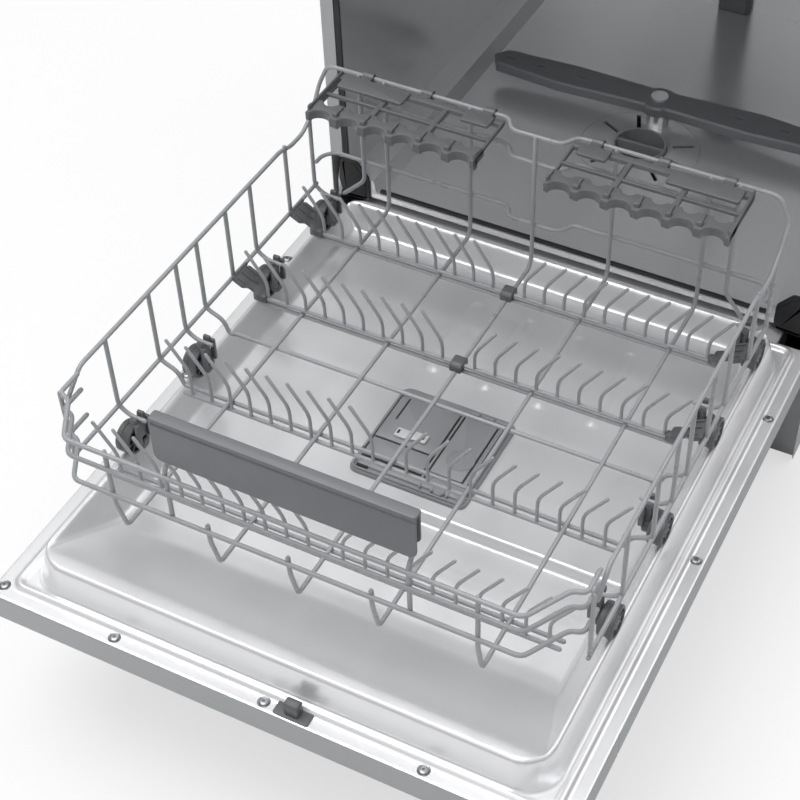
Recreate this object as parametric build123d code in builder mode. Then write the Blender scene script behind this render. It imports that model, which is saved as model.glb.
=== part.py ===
from build123d import *
from math import cos, radians, sin
import os

# A front-opening dishwasher, 60 cm wide, with its door lowered and its lower rack pulled out.
# Millimetres, Z up. The origin is on the floor, in the middle of the space that the machine takes
# with its door open. X runs across the machine, and Y runs from the door's free end to the back.
os.makedirs("parts", exist_ok=True)

# The cabinet
machine_width = 598.0
machine_height = 888.0
cabinet_depth = 585.0
side_sheet = 1.0
side_flange = 16.0
side_foot_gap = 4.0
inlet_from_side = 87.0
inlet_z = 92.0
inlet_radius = 13.2
inlet_length = 26.0
back_vent_pitch = 120.0
back_vent_width = 8.0
back_vent_height = 90.0
back_vent_z = 330.0
top_cover_height = 1.2
back_sheet = 1.0
kick_recess = 5.0
kick_height = 138.0
kick_vent_rise = 34.0
foot_radius = 19.0
foot_stem_radius = 5.0
foot_height = 9.0

# The tub
tub_side_gap = 24.0
tub_sheet = 1.2
tub_top = 848.0
tub_front_set = 2.0
tub_back_gap = 9.0
tub_corner_radius = 26.0
tub_floor_drop = 7.0
lip_height = 20.0
lip_depth = 8.0
lip_seal_width = 6.0
lip_seal_height = 3.0
ledge_width = 30.0
ledge_slope = 6.0
gasket_width = 7.0

# The door, lying open: heights are above the plane of its flange
door_side_gap = 1.5
door_length = 700.0
door_depth = 34.0
door_flange_height = 185.0
hinge_above_flange = 17.0
hinge_from_door_end = 18.0
hinge_behind_front = 15.0
hinge_pin_radius = 5.0
cover_lift = 5.0
cover_corner = 8.0
cover_thickness = 3.0
door_sheet = 1.2
door_skin = 1.2
control_panel_length = 118.0
panel_split_gap = 1.0
bead_inset = 19.0
bead_width = 9.0
bead_height = 5.0
rim_foot_inset = 25.0
rim_edge = 39.8
rim_height = 36.0
rim_top_inset = 36.0
rim_front_edge = 44.0
rim_front_foot = 21.0
rim_crest_margin = 73.0
rim_end_margin = 54.0
pocket_ramp_end = 130.0
pocket_side_run = 24.0
pocket_rear_run = 22.0
step_start = 255.0
step_run = 7.0
panel_rise = 10.0
button_radius = 7.5
button_travel = 2.5
button_play = 0.4
display_x = 160.0
display_width = 120.0
display_height = 26.0
button_set = 44.0
power_inset = 87.5
program_x = -40.0
button_pitch = 60.0
hinge_notch_length = 46.0
hinge_notch_width = 37.0

# The door's screws
screw_radius = 4.2
screw_height = 1.4
screw_edge = 9.0
screw_pitch = 160.0
screw_stations = [14.0, 330.0, 540.0]

# The detergent dispenser
dispenser_centre_y = 342.0
dispenser_width = 122.0
dispenser_length = 120.0
dispenser_depth = 30.0
dispenser_lip = 4.0
dispenser_lip_height = 7.0
dispenser_fit = 0.4
lid_width = 66.0
lid_length = 74.0
lid_thickness = 4.0
lid_travel = 32.0
lid_offset = -20.0
cap_radius = 15.0
cap_offset = 37.0

# The wheels of the lower rack
wheel_radius = 17.0
wheel_width = 16.0
wheel_pin_radius = 4.0
wheel_play = 0.3
pin_play = 0.5
wheel_stations = [121.5, 240.5, 378.5, 502.5]

# The lower rack, welded from wire
wire_size = 4.6
tine_size = 3.6
rack_from_door_side = 34.5
wheel_to_rear = 24.0
rack_travel = 640.0
rack_rear_gap = 7.0
floor_above_axle = 20.0
top_rail_rise = 108.0
second_rail_rise = 88.0
third_rail_rise = 55.0
side_rail_rise = 20.0
rear_rail_rise = 54.0
shelf_rail_rise = 167.0
shelf_stop_rise = 134.0
front_corner_width = 41.0
front_corner_run = 42.0
inner_wire_x = 81.0
outer_wire_inset = 82.0
wire_end_inset = 32.0
jog_end = 65.5
jog_start = 39.5
jog_drop = 7.0
rise_start = 16.5
rise_height = 31.0
rail_joint = 30.7
rear_jog_width = 32.0
rear_jog_depth = 17.0
cross_wire_y = 277.5

# The tines, measured from the rack's front rail
tine_rows = [61.5, 184.0, 331.5, 449.5]
tines_each_side = 10
tine_first = 18.0
tine_end_gap = 9.6
tine_kink = 28.0
tine_top = 62.0
tine_lean = 22.0
pivot_play = 0.3
bore_play = 0.6
saddle_play = 0.2

# The handle on the front of the lower rack
handle_half_width = 126.0
handle_bottom = 125.0
handle_top = 176.0
handle_thickness = 12.0
handle_wall = 2.6
handle_set_back = 8.5
handle_post_inset = 8.0

# The fold-down cup shelves
shelf_inner_x = 38.0
shelf_side_gap = 35.0
shelf_depth = 76.0
shelf_thickness = 6.0
shelf_notch_radius = 15.0
shelf_notches = 5
shelf_hinge_radius = 5.2

# The upper rack
upper_floor = 592.0
upper_rise = 112.0
upper_side_gap = 27.0
upper_depth = 500.0
upper_travel = 450.0
upper_rear_gap = 38.0
rail_height = 22.0
rail_thickness = 6.0
rail_gap = 0.4

# The spray arms and what feeds them
arm_clearance = 11.0
arm_pin_radius = 6.0
arm_play = 0.5
arm_nut_radius = 11.0
arm_nut_height = 3.0
arm_width = 40.0
arm_height = 13.0
arm_hub_radius = 24.0
lower_arm_lift = 22.0
upper_arm_drop = 44.0
duct_half = 16.0
sump_radius = 82.0
sump_wall = 4.0
sump_depth = 66.0
sump_well_radius = 40.0
sump_well_depth = 14.0
filter_radius = 33.0
filter_wall = 3.0
filter_depth = 46.0
filter_lift = 6.0
filter_set = 60.0
filter_plate_height = 3.0
pipe_half = 22.0
pipe_depth = 13.0

# The pumps and the valve under the tub
pump_set = 60.0
pump_rise = 34.0
wash_pump_range = (96.0, 196.0)
wash_pump_radius = 32.0
wash_volute_radius = 40.0
drain_pump_range = (-170.0, -104.0)
drain_pump_radius = 22.0
drain_volute_radius = 30.0
volute_length = 12.0
valve_width = 48.0
valve_height = 44.0
valve_length = 34.0
valve_coil_radius = 16.0
valve_coil_length = 26.0

# Places worked out from the sizes above
door_reach = door_length - hinge_from_door_end
open_depth = door_reach + cabinet_depth - hinge_behind_front
back_y = open_depth / 2
front_y = back_y - cabinet_depth
hinge_y = front_y + hinge_behind_front
free_y = hinge_y - door_reach
door_end_y = free_y + door_length
flange_z = door_flange_height
hinge_z = flange_z + hinge_above_flange
half_width = machine_width / 2
door_width = machine_width - 2 * door_side_gap
door_half = door_width / 2
tub_half_width = half_width - tub_side_gap
rack_half_width = door_half - rack_from_door_side
wheel_outer_face = rack_half_width
rack_depth = wheel_stations[-1] + wheel_to_rear
rim_crest = door_length - rim_crest_margin
rim_end = door_length - rim_end_margin
front_corner_x = rack_half_width - front_corner_width
wire_end_x = rack_half_width - wire_end_inset
outer_wire_x = rack_half_width - outer_wire_inset
long_wires = [-outer_wire_x, -inner_wire_x, 0.0, inner_wire_x, outer_wire_x]
tine_pitch = (wire_end_x - tine_end_gap - tine_first) / (tines_each_side - 1)
handle_post_x = handle_half_width - handle_post_inset
shelf_outer_x = rack_half_width - shelf_side_gap
upper_half_width = tub_half_width - upper_side_gap
arm_radius = tub_half_width - ledge_width - ledge_slope - arm_clearance
tub_front_y = front_y + tub_front_set
tub_back_y = back_y - back_sheet - tub_back_gap
tub_lip_z = flange_z + lip_height
tub_floor_z = tub_lip_z - tub_floor_drop
roll_z = flange_z + rim_height
axle_z = roll_z + wheel_play + wheel_radius
floor_z = axle_z + floor_above_axle
rack_rear_y = tub_back_y - rack_rear_gap - rack_travel
rack_front_y = rack_rear_y - rack_depth
weld = wire_size * 0.6
saddle_half = wire_size / 2 + saddle_play
touch = wire_size
cross_z = floor_z - touch
pivot_z = floor_z + wire_size + pivot_play
shelf_z = floor_z + shelf_rail_rise
tub_centre_y = (tub_front_y + tub_back_y) / 2
lower_arm_z = tub_floor_z + lower_arm_lift


def block(x_range, y_range, z_range):
    """A rectangular block between three pairs of coordinates."""
    middle = ((x_range[0] + x_range[1]) / 2, (y_range[0] + y_range[1]) / 2)
    with BuildPart() as body:
        with BuildSketch(Plane.XY.offset(z_range[0])):
            with Locations(middle):
                Rectangle(x_range[1] - x_range[0], y_range[1] - y_range[0])
        extrude(amount=z_range[1] - z_range[0])
    return body.part


def drum(centre, radius, z_range, sides=0):
    """An upright cylinder at a centre on plan, between two heights, or a many-sided one."""
    with BuildPart() as body:
        with BuildSketch(Plane.XY.offset(z_range[0])):
            with Locations(centre):
                if sides:
                    RegularPolygon(radius, sides)
                else:
                    Circle(radius)
        extrude(amount=z_range[1] - z_range[0])
    return body.part


def axle(x_range, y, z, radius, sides=0):
    """A cylinder along X between two places, or a many-sided one."""
    with BuildPart() as body:
        with BuildSketch(Plane.YZ.offset(x_range[0])):
            with Locations((y, z)):
                if sides:
                    RegularPolygon(radius, sides)
                else:
                    Circle(radius)
        extrude(amount=x_range[1] - x_range[0])
    return body.part


def slab(points, x_range):
    """A side profile in Y and Z, extruded across X."""
    with BuildPart() as body:
        with BuildSketch(Plane.YZ.offset(x_range[0])):
            with BuildLine():
                Polyline(*points, close=True)
            make_face()
        extrude(amount=x_range[1] - x_range[0])
    return body.part


def wire(points, size):
    """Wire bent through the points, with mitred corners and a four-sided section to save faces."""
    with BuildPart() as rod:
        with BuildLine() as path:
            Polyline(*points)
        with BuildSketch(Plane(origin=path.line @ 0, z_dir=path.line % 0)):
            RegularPolygon(size / 2, 4)
        sweep(transition=Transition.RIGHT)
    return rod.part


def keep(builder, name):
    """Label a finished piece and write it under its name."""
    builder.part.label = name
    export_step(builder.part, f"parts/{name}.step")


# The cabinet
side_bottom = side_foot_gap
side_top = machine_height - top_cover_height
flange_bottom = flange_z + 60.0
for name, side in (("side_panel_left", -1), ("side_panel_right", 1)):
    outer = side * half_width
    inner = side * (half_width - side_sheet)
    lip_edge = side * (half_width - side_flange)
    with BuildPart() as side_panel:
        add(block(sorted((inner, outer)), (front_y, back_y), (side_bottom, side_top)))
        add(block(sorted((lip_edge, outer)), (front_y, front_y + side_sheet), (flange_bottom, side_top)))
    keep(side_panel, name)

with BuildPart() as top_cover:
    with BuildSketch(Plane.XY.offset(side_top)):
        with Locations((0, (front_y + back_y) / 2)):
            Rectangle(machine_width, cabinet_depth)
    extrude(amount=top_cover_height)
keep(top_cover, "top_cover")

back_inner = half_width - side_sheet
inlet_x = inlet_from_side - back_inner
with BuildPart() as back_panel:
    add(block((-back_inner, back_inner), (back_y - back_sheet, back_y), (side_bottom, side_top)))
    with BuildSketch(Plane.XZ.offset(-back_y)):
        with Locations(*[(x, back_vent_z) for x in (-back_vent_pitch, 0, back_vent_pitch)]):
            Rectangle(back_vent_width, back_vent_height)
        with Locations((inlet_x, inlet_z)):
            Rectangle(valve_width + 8, valve_width + 8)
    extrude(amount=back_sheet, mode=Mode.SUBTRACT)
keep(back_panel, "back_panel")

base_inner = back_inner - 1.0
base_front = front_y + kick_recess + 4.0
base_wall = 3.0
base_bottom = foot_height + 3.0
base_top = base_bottom + 46.0
with BuildPart() as base_pan:
    add(block((-base_inner, base_inner), (base_front, back_y - back_sheet), (base_bottom, base_top)))
    add(block((-base_inner + base_wall, base_inner - base_wall),
              (base_front + base_wall, back_y - back_sheet - base_wall),
              (base_bottom + base_wall, base_top + 1)), mode=Mode.SUBTRACT)
keep(base_pan, "base_pan")

foot_x = base_inner - 34.0
foot_rows = (base_front + 36.0, back_y - 44.0)
with BuildPart() as levelling_feet:
    for x in (-foot_x, foot_x):
        for y in foot_rows:
            add(drum((x, y), foot_radius, (0, foot_height), 16))
            add(drum((x, y), foot_stem_radius, (foot_height, base_bottom), 8))
keep(levelling_feet, "levelling_feet")

with BuildPart() as kick_plate:
    add(block((-back_inner, back_inner), (front_y + kick_recess, base_front),
              (side_bottom, side_bottom + kick_height)))
    with BuildSketch(Plane.XZ.offset(-front_y - kick_recess)):
        with Locations((0, side_bottom + kick_vent_rise)):
            with GridLocations(100, 14, 4, 3):
                Rectangle(80, 5)
    extrude(amount=-1.5, mode=Mode.SUBTRACT)
keep(kick_plate, "kick_plate")

# The tub: one profile across the machine, carried from the front to the back
def tub_profile(outward, y):
    """The tub's section across the machine, moved outward by a sheet, on a plane at y."""
    side = tub_half_width + outward
    foot = tub_half_width - ledge_width + outward
    top = tub_top + outward
    with BuildSketch(Plane.XZ.offset(-y)) as section:
        with BuildLine():
            Polyline((-side, top), (-side, roll_z - outward), (-foot, roll_z - outward),
                     (ledge_slope - foot, tub_floor_z - outward),
                     (foot - ledge_slope, tub_floor_z - outward), (foot, roll_z - outward),
                     (side, roll_z - outward), (side, top), close=True)
        make_face()
        fillet(section.vertices().group_by(Axis.Y)[-1], tub_corner_radius + outward)
    return section.sketch


tub_length = tub_back_y - tub_front_y
sump_centre = (0.0, tub_centre_y)
sump_mouth_radius = sump_radius - 2 * sump_wall
filter_centre = (0.0, tub_centre_y - filter_set)
flange_top = side_top - 1.0
with BuildPart() as tub:
    extrude(tub_profile(tub_sheet, tub_back_y + tub_sheet), amount=tub_length + tub_sheet)
    add(block((-half_width + side_flange, half_width - side_flange), (tub_front_y, tub_front_y + tub_sheet),
              (tub_floor_z - tub_sheet, flange_top)))
    extrude(tub_profile(0, tub_back_y), amount=tub_length, mode=Mode.SUBTRACT)
    add(block((-tub_half_width + ledge_width, tub_half_width - ledge_width),
              (tub_front_y, tub_front_y + lip_depth), (tub_floor_z - tub_sheet, tub_lip_z)))
    with BuildSketch(Plane.XY.offset(tub_floor_z - 2 * tub_sheet)):
        with Locations(filter_centre):
            RegularPolygon(sump_mouth_radius, 32)
    extrude(amount=4 * tub_sheet, mode=Mode.SUBTRACT)
keep(tub, "tub")

seal_half = tub_half_width - ledge_width - ledge_slope - 1
with BuildPart() as lip_seal:
    add(block((-seal_half, seal_half),
              (tub_front_y + 1, tub_front_y + 1 + lip_seal_width),
              (tub_lip_z, tub_lip_z + lip_seal_height)))
keep(lip_seal, "lip_seal")

gasket_bottom = roll_z + 2
gasket_outer = tub_half_width + gasket_width
with BuildPart() as tub_seal:
    with BuildSketch(Plane.XZ.offset(-tub_front_y)):
        with Locations((0, (gasket_bottom + tub_top + gasket_width) / 2)):
            Rectangle(2 * gasket_outer, tub_top + gasket_width - gasket_bottom)
    extrude(amount=2)
    add(block((-tub_half_width, tub_half_width), (front_y - 1, tub_front_y), (gasket_bottom - 1, tub_top)),
        mode=Mode.SUBTRACT)
keep(tub_seal, "tub_seal")

# What stands under the tub
floor_under = tub_floor_z - tub_sheet
with BuildPart() as sump:
    add(drum(filter_centre, sump_radius, (floor_under - sump_depth, floor_under), 24))
    add(drum(filter_centre, sump_radius - sump_wall, (floor_under - sump_depth + sump_wall, floor_under), 24),
        mode=Mode.SUBTRACT)
    add(drum(filter_centre, sump_well_radius,
             (floor_under - sump_depth - sump_well_depth, floor_under - sump_depth), 16))
keep(sump, "sump")

hub_radius = 14.0
with BuildPart() as filter_plate:
    add(drum(filter_centre, sump_mouth_radius - 0.4, (tub_floor_z - filter_plate_height, tub_floor_z), 32))
    add(drum(filter_centre, filter_radius + pin_play, (tub_floor_z - 4, tub_floor_z + 1), 32),
        mode=Mode.SUBTRACT)
    with BuildSketch(Plane.XY.offset(tub_floor_z - filter_plate_height)):
        with Locations(filter_centre):
            with PolarLocations(54, 8, start_angle=112.5, angular_range=315):
                Rectangle(26, 5)
    extrude(amount=filter_plate_height, mode=Mode.SUBTRACT)
    add(drum(sump_centre, hub_radius, (tub_floor_z, lower_arm_z - arm_play), 16))
    nut_z = lower_arm_z + arm_height + arm_play
    add(drum(sump_centre, arm_pin_radius, (lower_arm_z - arm_play, nut_z), 12))
    add(drum(sump_centre, arm_nut_radius, (nut_z, nut_z + arm_nut_height), 12))
keep(filter_plate, "filter_plate")

filter_top = tub_floor_z + filter_lift
filter_low = tub_floor_z - filter_depth
with BuildPart() as filter_cup:
    add(drum(filter_centre, filter_radius, (filter_low, filter_top), 32))
    add(drum(filter_centre, filter_radius - filter_wall, (filter_low + filter_wall, filter_top), 24),
        mode=Mode.SUBTRACT)
    add(block((filter_wall / 2 - filter_radius, filter_radius - filter_wall / 2),
              (filter_centre[1] - 2, filter_centre[1] + 2), (tub_floor_z - 8, filter_top)))
keep(filter_cup, "filter_cup")


def spray_arm(base_z):
    """A two-bladed arm bored for its pin in the middle of the tub, its blades curved like an S."""
    with BuildPart() as arm:
        with BuildSketch(Plane.XY.offset(base_z)):
            for turn in (0, 180):
                with BuildLine(Rot(0, 0, turn)):
                    Polyline((-14, arm_width / 2 - 2), (arm_radius * 0.55, arm_width / 2 + 5),
                             (arm_radius - 14, arm_width / 2 - 2), (arm_radius - 4, 0),
                             (arm_radius - 18, 4 - arm_width / 2), (arm_radius * 0.5, -8 - arm_width / 3),
                             (-14, 2 - arm_width / 2), close=True)
                make_face()
            RegularPolygon(arm_hub_radius, 16)
        extrude(amount=arm_height)
        chamfer(arm.faces().sort_by(Axis.Z)[-1].edges(), 2.5)
        with BuildSketch(Plane.XY.offset(base_z + arm_height - 2)):
            for reach in (0.45, 0.7, 0.88):
                with Locations((arm_radius * reach, 2), (-arm_radius * reach, -2)):
                    Rectangle(12, 3)
        extrude(amount=3, mode=Mode.SUBTRACT)
        add(drum((0, 0), arm_pin_radius + pin_play, (base_z - 1, base_z + arm_height + 1), 12),
            mode=Mode.SUBTRACT)
    return Pos(0, tub_centre_y) * arm.part


with BuildPart() as lower_spray_arm:
    add(spray_arm(lower_arm_z))
keep(lower_spray_arm, "lower_spray_arm")

upper_arm_z = upper_floor - upper_arm_drop
duct_z = (upper_arm_z + arm_height + 8.0, upper_floor - 9.0)
with BuildPart() as upper_spray_arm:
    add(spray_arm(upper_arm_z))
keep(upper_spray_arm, "upper_spray_arm")

pipe_top = duct_z[1]
with BuildPart() as feed_pipe:
    add(block((-pipe_half, pipe_half), (tub_back_y - pipe_depth, tub_back_y), (tub_floor_z, pipe_top)))
    chamfer(feed_pipe.edges().filter_by(Axis.Z).group_by(Axis.Y)[0], 5)
keep(feed_pipe, "feed_pipe")

pump_z = base_bottom + base_wall + pump_rise
pump_y = tub_centre_y - pump_set
pump_foot_z = base_bottom + base_wall
wash_axis_z = pump_z + pump_rise
with BuildPart() as wash_pump:
    near, far = wash_pump_range
    add(axle(wash_pump_range, pump_y, wash_axis_z, wash_pump_radius, 16))
    add(axle((near - volute_length, near), pump_y, wash_axis_z, wash_volute_radius, 16))
    add(axle((far, far + 10), pump_y, wash_axis_z, 12, 12))
    add(block((near + 14, far - 16), (pump_y - 26, pump_y + 26), (pump_foot_z, pump_z + 10)))
keep(wash_pump, "wash_pump")

drain_y = pump_y - pump_set
with BuildPart() as drain_pump:
    near, far = drain_pump_range
    add(axle(drain_pump_range, drain_y, pump_z + 6, drain_pump_radius, 16))
    add(axle((far, far + volute_length), drain_y, pump_z + 6, drain_volute_radius, 16))
    add(block((near + 10, far - 8), (drain_y - 16, drain_y + 16), (pump_foot_z, pump_z - 8)))
keep(drain_pump, "drain_pump")

valve_back = back_y - inlet_length
with BuildPart() as inlet_valve:
    with BuildSketch(Plane.XZ.offset(-valve_back)):
        with Locations((inlet_x, inlet_z)):
            Rectangle(valve_width, valve_height)
    extrude(amount=valve_length)
    with BuildSketch(Plane.XZ.offset(valve_length - valve_back)):
        with Locations((inlet_x, inlet_z)):
            RegularPolygon(valve_coil_radius, 16)
    extrude(amount=valve_coil_length)
    with BuildSketch(Plane.XZ.offset(-back_y)):
        with Locations((inlet_x, inlet_z)):
            Circle(inlet_radius)
    extrude(amount=inlet_length)
keep(inlet_valve, "inlet_valve")

# The hinges
arm_x = half_width - 13.5
arm_thickness = 4.0
bracket_x = arm_x + arm_thickness + 0.8
bracket_thickness = 3.0
notch_y = door_end_y - hinge_notch_length
notch_x = door_half - hinge_notch_width
bracket_front = front_y + kick_recess + 5.0
with BuildPart() as hinge_brackets:
    for side in (-1, 1):
        cheek = sorted((side * bracket_x, side * (bracket_x + bracket_thickness)))
        add(slab([(bracket_front, base_top), (hinge_y + 44, base_top), (hinge_y + 44, hinge_z + 22),
                  (hinge_y - 6, hinge_z + 22), (front_y + 3, hinge_z + 6),
                  (front_y + 3, hinge_z - 14), (bracket_front, hinge_z - 60)], cheek))
        add(axle(sorted((side * (arm_x - 1), side * (bracket_x + 1))), hinge_y, hinge_z, hinge_pin_radius, 16))
keep(hinge_brackets, "hinge_brackets")

cover_inner = tub_half_width - ledge_width + 2.0
cover_outer = arm_x - 1.0
cover_z = (flange_z + cover_lift, roll_z - tub_sheet)
with BuildPart() as hinge_covers:
    with BuildSketch(Plane.XZ.offset(-tub_front_y)) as plates:
        with Locations(*[(side * (cover_inner + cover_outer) / 2, sum(cover_z) / 2) for side in (-1, 1)]):
            Rectangle(cover_outer - cover_inner, cover_z[1] - cover_z[0])
        chamfer(plates.vertices(), cover_corner)
    extrude(amount=cover_thickness)
keep(hinge_covers, "hinge_covers")


# The door
def door_outline(inset, y_range, height):
    """The door's outline on plan, notched at both hinges, on a plane at a height."""
    side = door_half - inset
    with BuildSketch(Plane.XY.offset(height)) as outline:
        with BuildLine():
            Polyline((-side, y_range[0] + inset), (side, y_range[0] + inset),
                     (side, notch_y - inset), (notch_x - inset, notch_y - inset),
                     (notch_x - inset, y_range[1] - inset), (inset - notch_x, y_range[1] - inset),
                     (inset - notch_x, notch_y - inset), (-side, notch_y - inset), close=True)
        make_face()
    return outline.sketch


def corner_steps(half, y_range, radius, steps=4):
    """Points round a rectangle, each corner an arc taken in a few straight steps."""
    points = []
    corners = ((half, y_range[1]), (-half, y_range[1]), (-half, y_range[0]), (half, y_range[0]))
    for number, (x, y) in enumerate(corners):
        centre_x = x - radius if x > 0 else x + radius
        centre_y = y - radius if y == y_range[1] else y + radius
        for step in range(steps + 1):
            turn = radians(90 * (number + step / steps))
            points.append((centre_x + radius * cos(turn), centre_y + radius * sin(turn)))
    return points


def frustum(low, high, low_z, high_z, low_radius=0, high_radius=0):
    """A solid between two rectangles at two heights, each given by its half width and Y range."""
    with BuildPart() as body:
        levels = ((low, low_z, low_radius), (high, high_z, high_radius))
        for (half, y_range), height, radius in levels:
            with BuildSketch(Plane.XY.offset(height)):
                if radius:
                    with BuildLine():
                        Polyline(*corner_steps(half, y_range, radius), close=True)
                    make_face()
                else:
                    with Locations((0, (y_range[0] + y_range[1]) / 2)):
                        Rectangle(2 * half, y_range[1] - y_range[0])
        loft(ruled=True)
    return body.part


pocket_half = door_half - rim_edge
with BuildPart() as door_form:
    extrude(door_outline(0, (free_y, door_end_y), flange_z - 24), amount=24)
    add(frustum((door_half - rim_foot_inset, (free_y + rim_front_foot, free_y + rim_end)),
                (door_half - rim_top_inset, (free_y + rim_top_inset, free_y + rim_end - 4)),
                flange_z, roll_z, 42, 34))
    add(frustum((pocket_half - pocket_side_run,
                 (free_y + pocket_ramp_end, free_y + rim_crest - pocket_rear_run)),
                (pocket_half, (free_y + rim_front_edge, free_y + rim_crest)), flange_z, roll_z),
        mode=Mode.SUBTRACT)
    add(slab([(free_y + step_start, flange_z - 5), (free_y + step_start, flange_z),
              (free_y + step_start + step_run, flange_z + panel_rise),
              (free_y + rim_crest - 5, flange_z + panel_rise), (free_y + rim_crest - 5, flange_z - 5)],
             (5 - pocket_half, pocket_half - 5)))
    with BuildSketch(Plane.XY.offset(flange_z)):
        with Locations((0, free_y + (bead_inset + rim_end) / 2)):
            Rectangle(2 * (door_half - bead_inset) + bead_width, rim_end - bead_inset + bead_width)
            Rectangle(2 * (door_half - bead_inset) - bead_width, rim_end - bead_inset - bead_width,
                      mode=Mode.SUBTRACT)
    extrude(amount=bead_height, taper=30)

dispenser_y = free_y + dispenser_centre_y
panel_z = flange_z + panel_rise
with BuildPart() as inner_door:
    add(door_form.part)
    add(Pos(0, 0, -door_sheet) * door_form.part, mode=Mode.SUBTRACT)
    add(block((-dispenser_width / 2, dispenser_width / 2),
              (dispenser_y - dispenser_length / 2, dispenser_y + dispenser_length / 2),
              (flange_z, roll_z)), mode=Mode.SUBTRACT)
keep(inner_door, "inner_door")

skin_low = flange_z - door_depth
skin_top = flange_z - door_sheet
split_y = free_y + control_panel_length
with BuildPart() as outer_door:
    shell_range = (split_y + panel_split_gap, door_end_y)
    extrude(door_outline(0, shell_range, skin_low), amount=skin_top - skin_low)
    extrude(door_outline(door_skin, shell_range, skin_low + door_skin), amount=door_depth,
            mode=Mode.SUBTRACT)
    for side in (-1, 1):
        slot = sorted((side * (arm_x - 0.6), side * (arm_x + arm_thickness + 0.6)))
        add(block(slot, (notch_y - 3, notch_y + 3), (skin_low + 6, skin_top)), mode=Mode.SUBTRACT)
keep(outer_door, "outer_door")

button_y = free_y + button_set
power_x = power_inset - door_half
button_places = {"power_button": power_x, "program_button": program_x,
                 "start_button": program_x + button_pitch}
with BuildPart() as control_panel:
    with BuildSketch(Plane.XY.offset(skin_low)):
        with Locations((0, free_y + control_panel_length / 2)):
            Rectangle(door_width, control_panel_length)
    extrude(amount=skin_top - skin_low)
    with BuildSketch(Plane.XY.offset(skin_low + door_skin)):
        with Locations((0, free_y + control_panel_length / 2)):
            Rectangle(door_width - 2 * door_skin, control_panel_length - 2 * door_skin)
    extrude(amount=door_depth, mode=Mode.SUBTRACT)
    with BuildSketch(Plane.XY.offset(skin_low - 1)):
        with Locations(*[(x, button_y) for x in button_places.values()]):
            RegularPolygon(button_radius + button_play, 12)
    extrude(amount=door_skin + 2, mode=Mode.SUBTRACT)
    with BuildSketch(Plane.XY.offset(skin_low)):
        with Locations((display_x, button_y)):
            Rectangle(display_width, display_height)
    extrude(amount=0.8, mode=Mode.SUBTRACT)
keep(control_panel, "control_panel")

for name, x in button_places.items():
    with BuildPart() as button:
        add(drum((x, button_y), button_radius, (skin_low - button_travel, skin_low + 6), 12))
        add(drum((x, button_y), button_radius + 2, (skin_low + door_skin + 0.3, skin_low + 5), 12))
    keep(button, name)

screw_places = [(x, free_y + screw_edge) for x in (-screw_pitch, 0.0, screw_pitch)]
screw_places += [(side * (door_half - screw_edge), free_y + y) for side in (-1, 1) for y in screw_stations]
with BuildPart() as door_screws:
    with BuildSketch(Plane.XY.offset(flange_z)):
        with Locations(*screw_places):
            RegularPolygon(screw_radius, 8)
    extrude(amount=screw_height)
    with BuildSketch(Plane.XY.offset(flange_z + screw_height)):
        with Locations(*screw_places):
            RegularPolygon(2, 4)
    extrude(amount=-1, mode=Mode.SUBTRACT)
keep(door_screws, "door_screws")

latch_y = free_y + 9.0
with BuildPart() as door_latch:
    add(slab([(latch_y - 4, flange_z), (latch_y + 4, flange_z), (latch_y + 4, flange_z + 12),
              (latch_y + 7, flange_z + 15), (latch_y + 3, flange_z + 18), (latch_y - 4, flange_z + 16)],
             (22, 38)))
keep(door_latch, "door_latch")

arm_reach = 90.0
with BuildPart() as hinge_arms:
    for side in (-1, 1):
        plate = sorted((side * arm_x, side * (arm_x + arm_thickness)))
        add(slab([(hinge_y + 10, hinge_z - 7), (hinge_y + 10, hinge_z + 7), (hinge_y - 2, hinge_z + 12),
                  (hinge_y - 10, hinge_z + 8), (notch_y + 1, skin_top - 3),
                  (notch_y - arm_reach, skin_top - 3),
                  (notch_y - arm_reach, skin_low + 9), (notch_y + 8, skin_low + 9)], plate))
        add(axle(sorted((side * (arm_x - 1), side * (arm_x + arm_thickness + 1))), hinge_y, hinge_z,
                 hinge_pin_radius + pin_play, 16), mode=Mode.SUBTRACT)
keep(hinge_arms, "hinge_arms")

# The detergent dispenser in the middle of the inner door
cup_half = lid_width / 2 - 6
cup_length = lid_travel + 4
lid_z = panel_z + dispenser_lip_height
lid_front = dispenser_y - dispenser_length / 2 + 8
cap_place = (cap_offset, dispenser_y - 12)
with BuildPart() as dispenser_body:
    add(block((-dispenser_width / 2 + dispenser_fit, dispenser_width / 2 - dispenser_fit),
              (dispenser_y - dispenser_length / 2 + dispenser_fit,
               dispenser_y + dispenser_length / 2 - dispenser_fit),
              (skin_low + door_skin + 3, panel_z)))
    add(frustum((dispenser_width / 2 + dispenser_lip, (dispenser_y - dispenser_length / 2 - dispenser_lip,
                                                      dispenser_y + dispenser_length / 2 + dispenser_lip)),
                (dispenser_width / 2 - 2, (dispenser_y - dispenser_length / 2 + 2,
                                           dispenser_y + dispenser_length / 2 - 2)),
                panel_z, lid_z, 10, 6))
    add(block((lid_offset - cup_half, lid_offset + cup_half), (lid_front + 4, lid_front + 4 + cup_length),
              (panel_z - dispenser_depth + 4, lid_z + 1)), mode=Mode.SUBTRACT)
    add(drum(cap_place, cap_radius + pin_play, (lid_z - 8, lid_z + 1), 24), mode=Mode.SUBTRACT)
    for edge in (-1, 1):
        guide = sorted((lid_offset + edge * (lid_width / 2 + 0.4), lid_offset + edge * (lid_width / 2 + 3)))
        add(block(guide, (lid_front - 3, dispenser_y + dispenser_length / 2 - 3), (lid_z, lid_z + 3)))
keep(dispenser_body, "dispenser_body")

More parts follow.
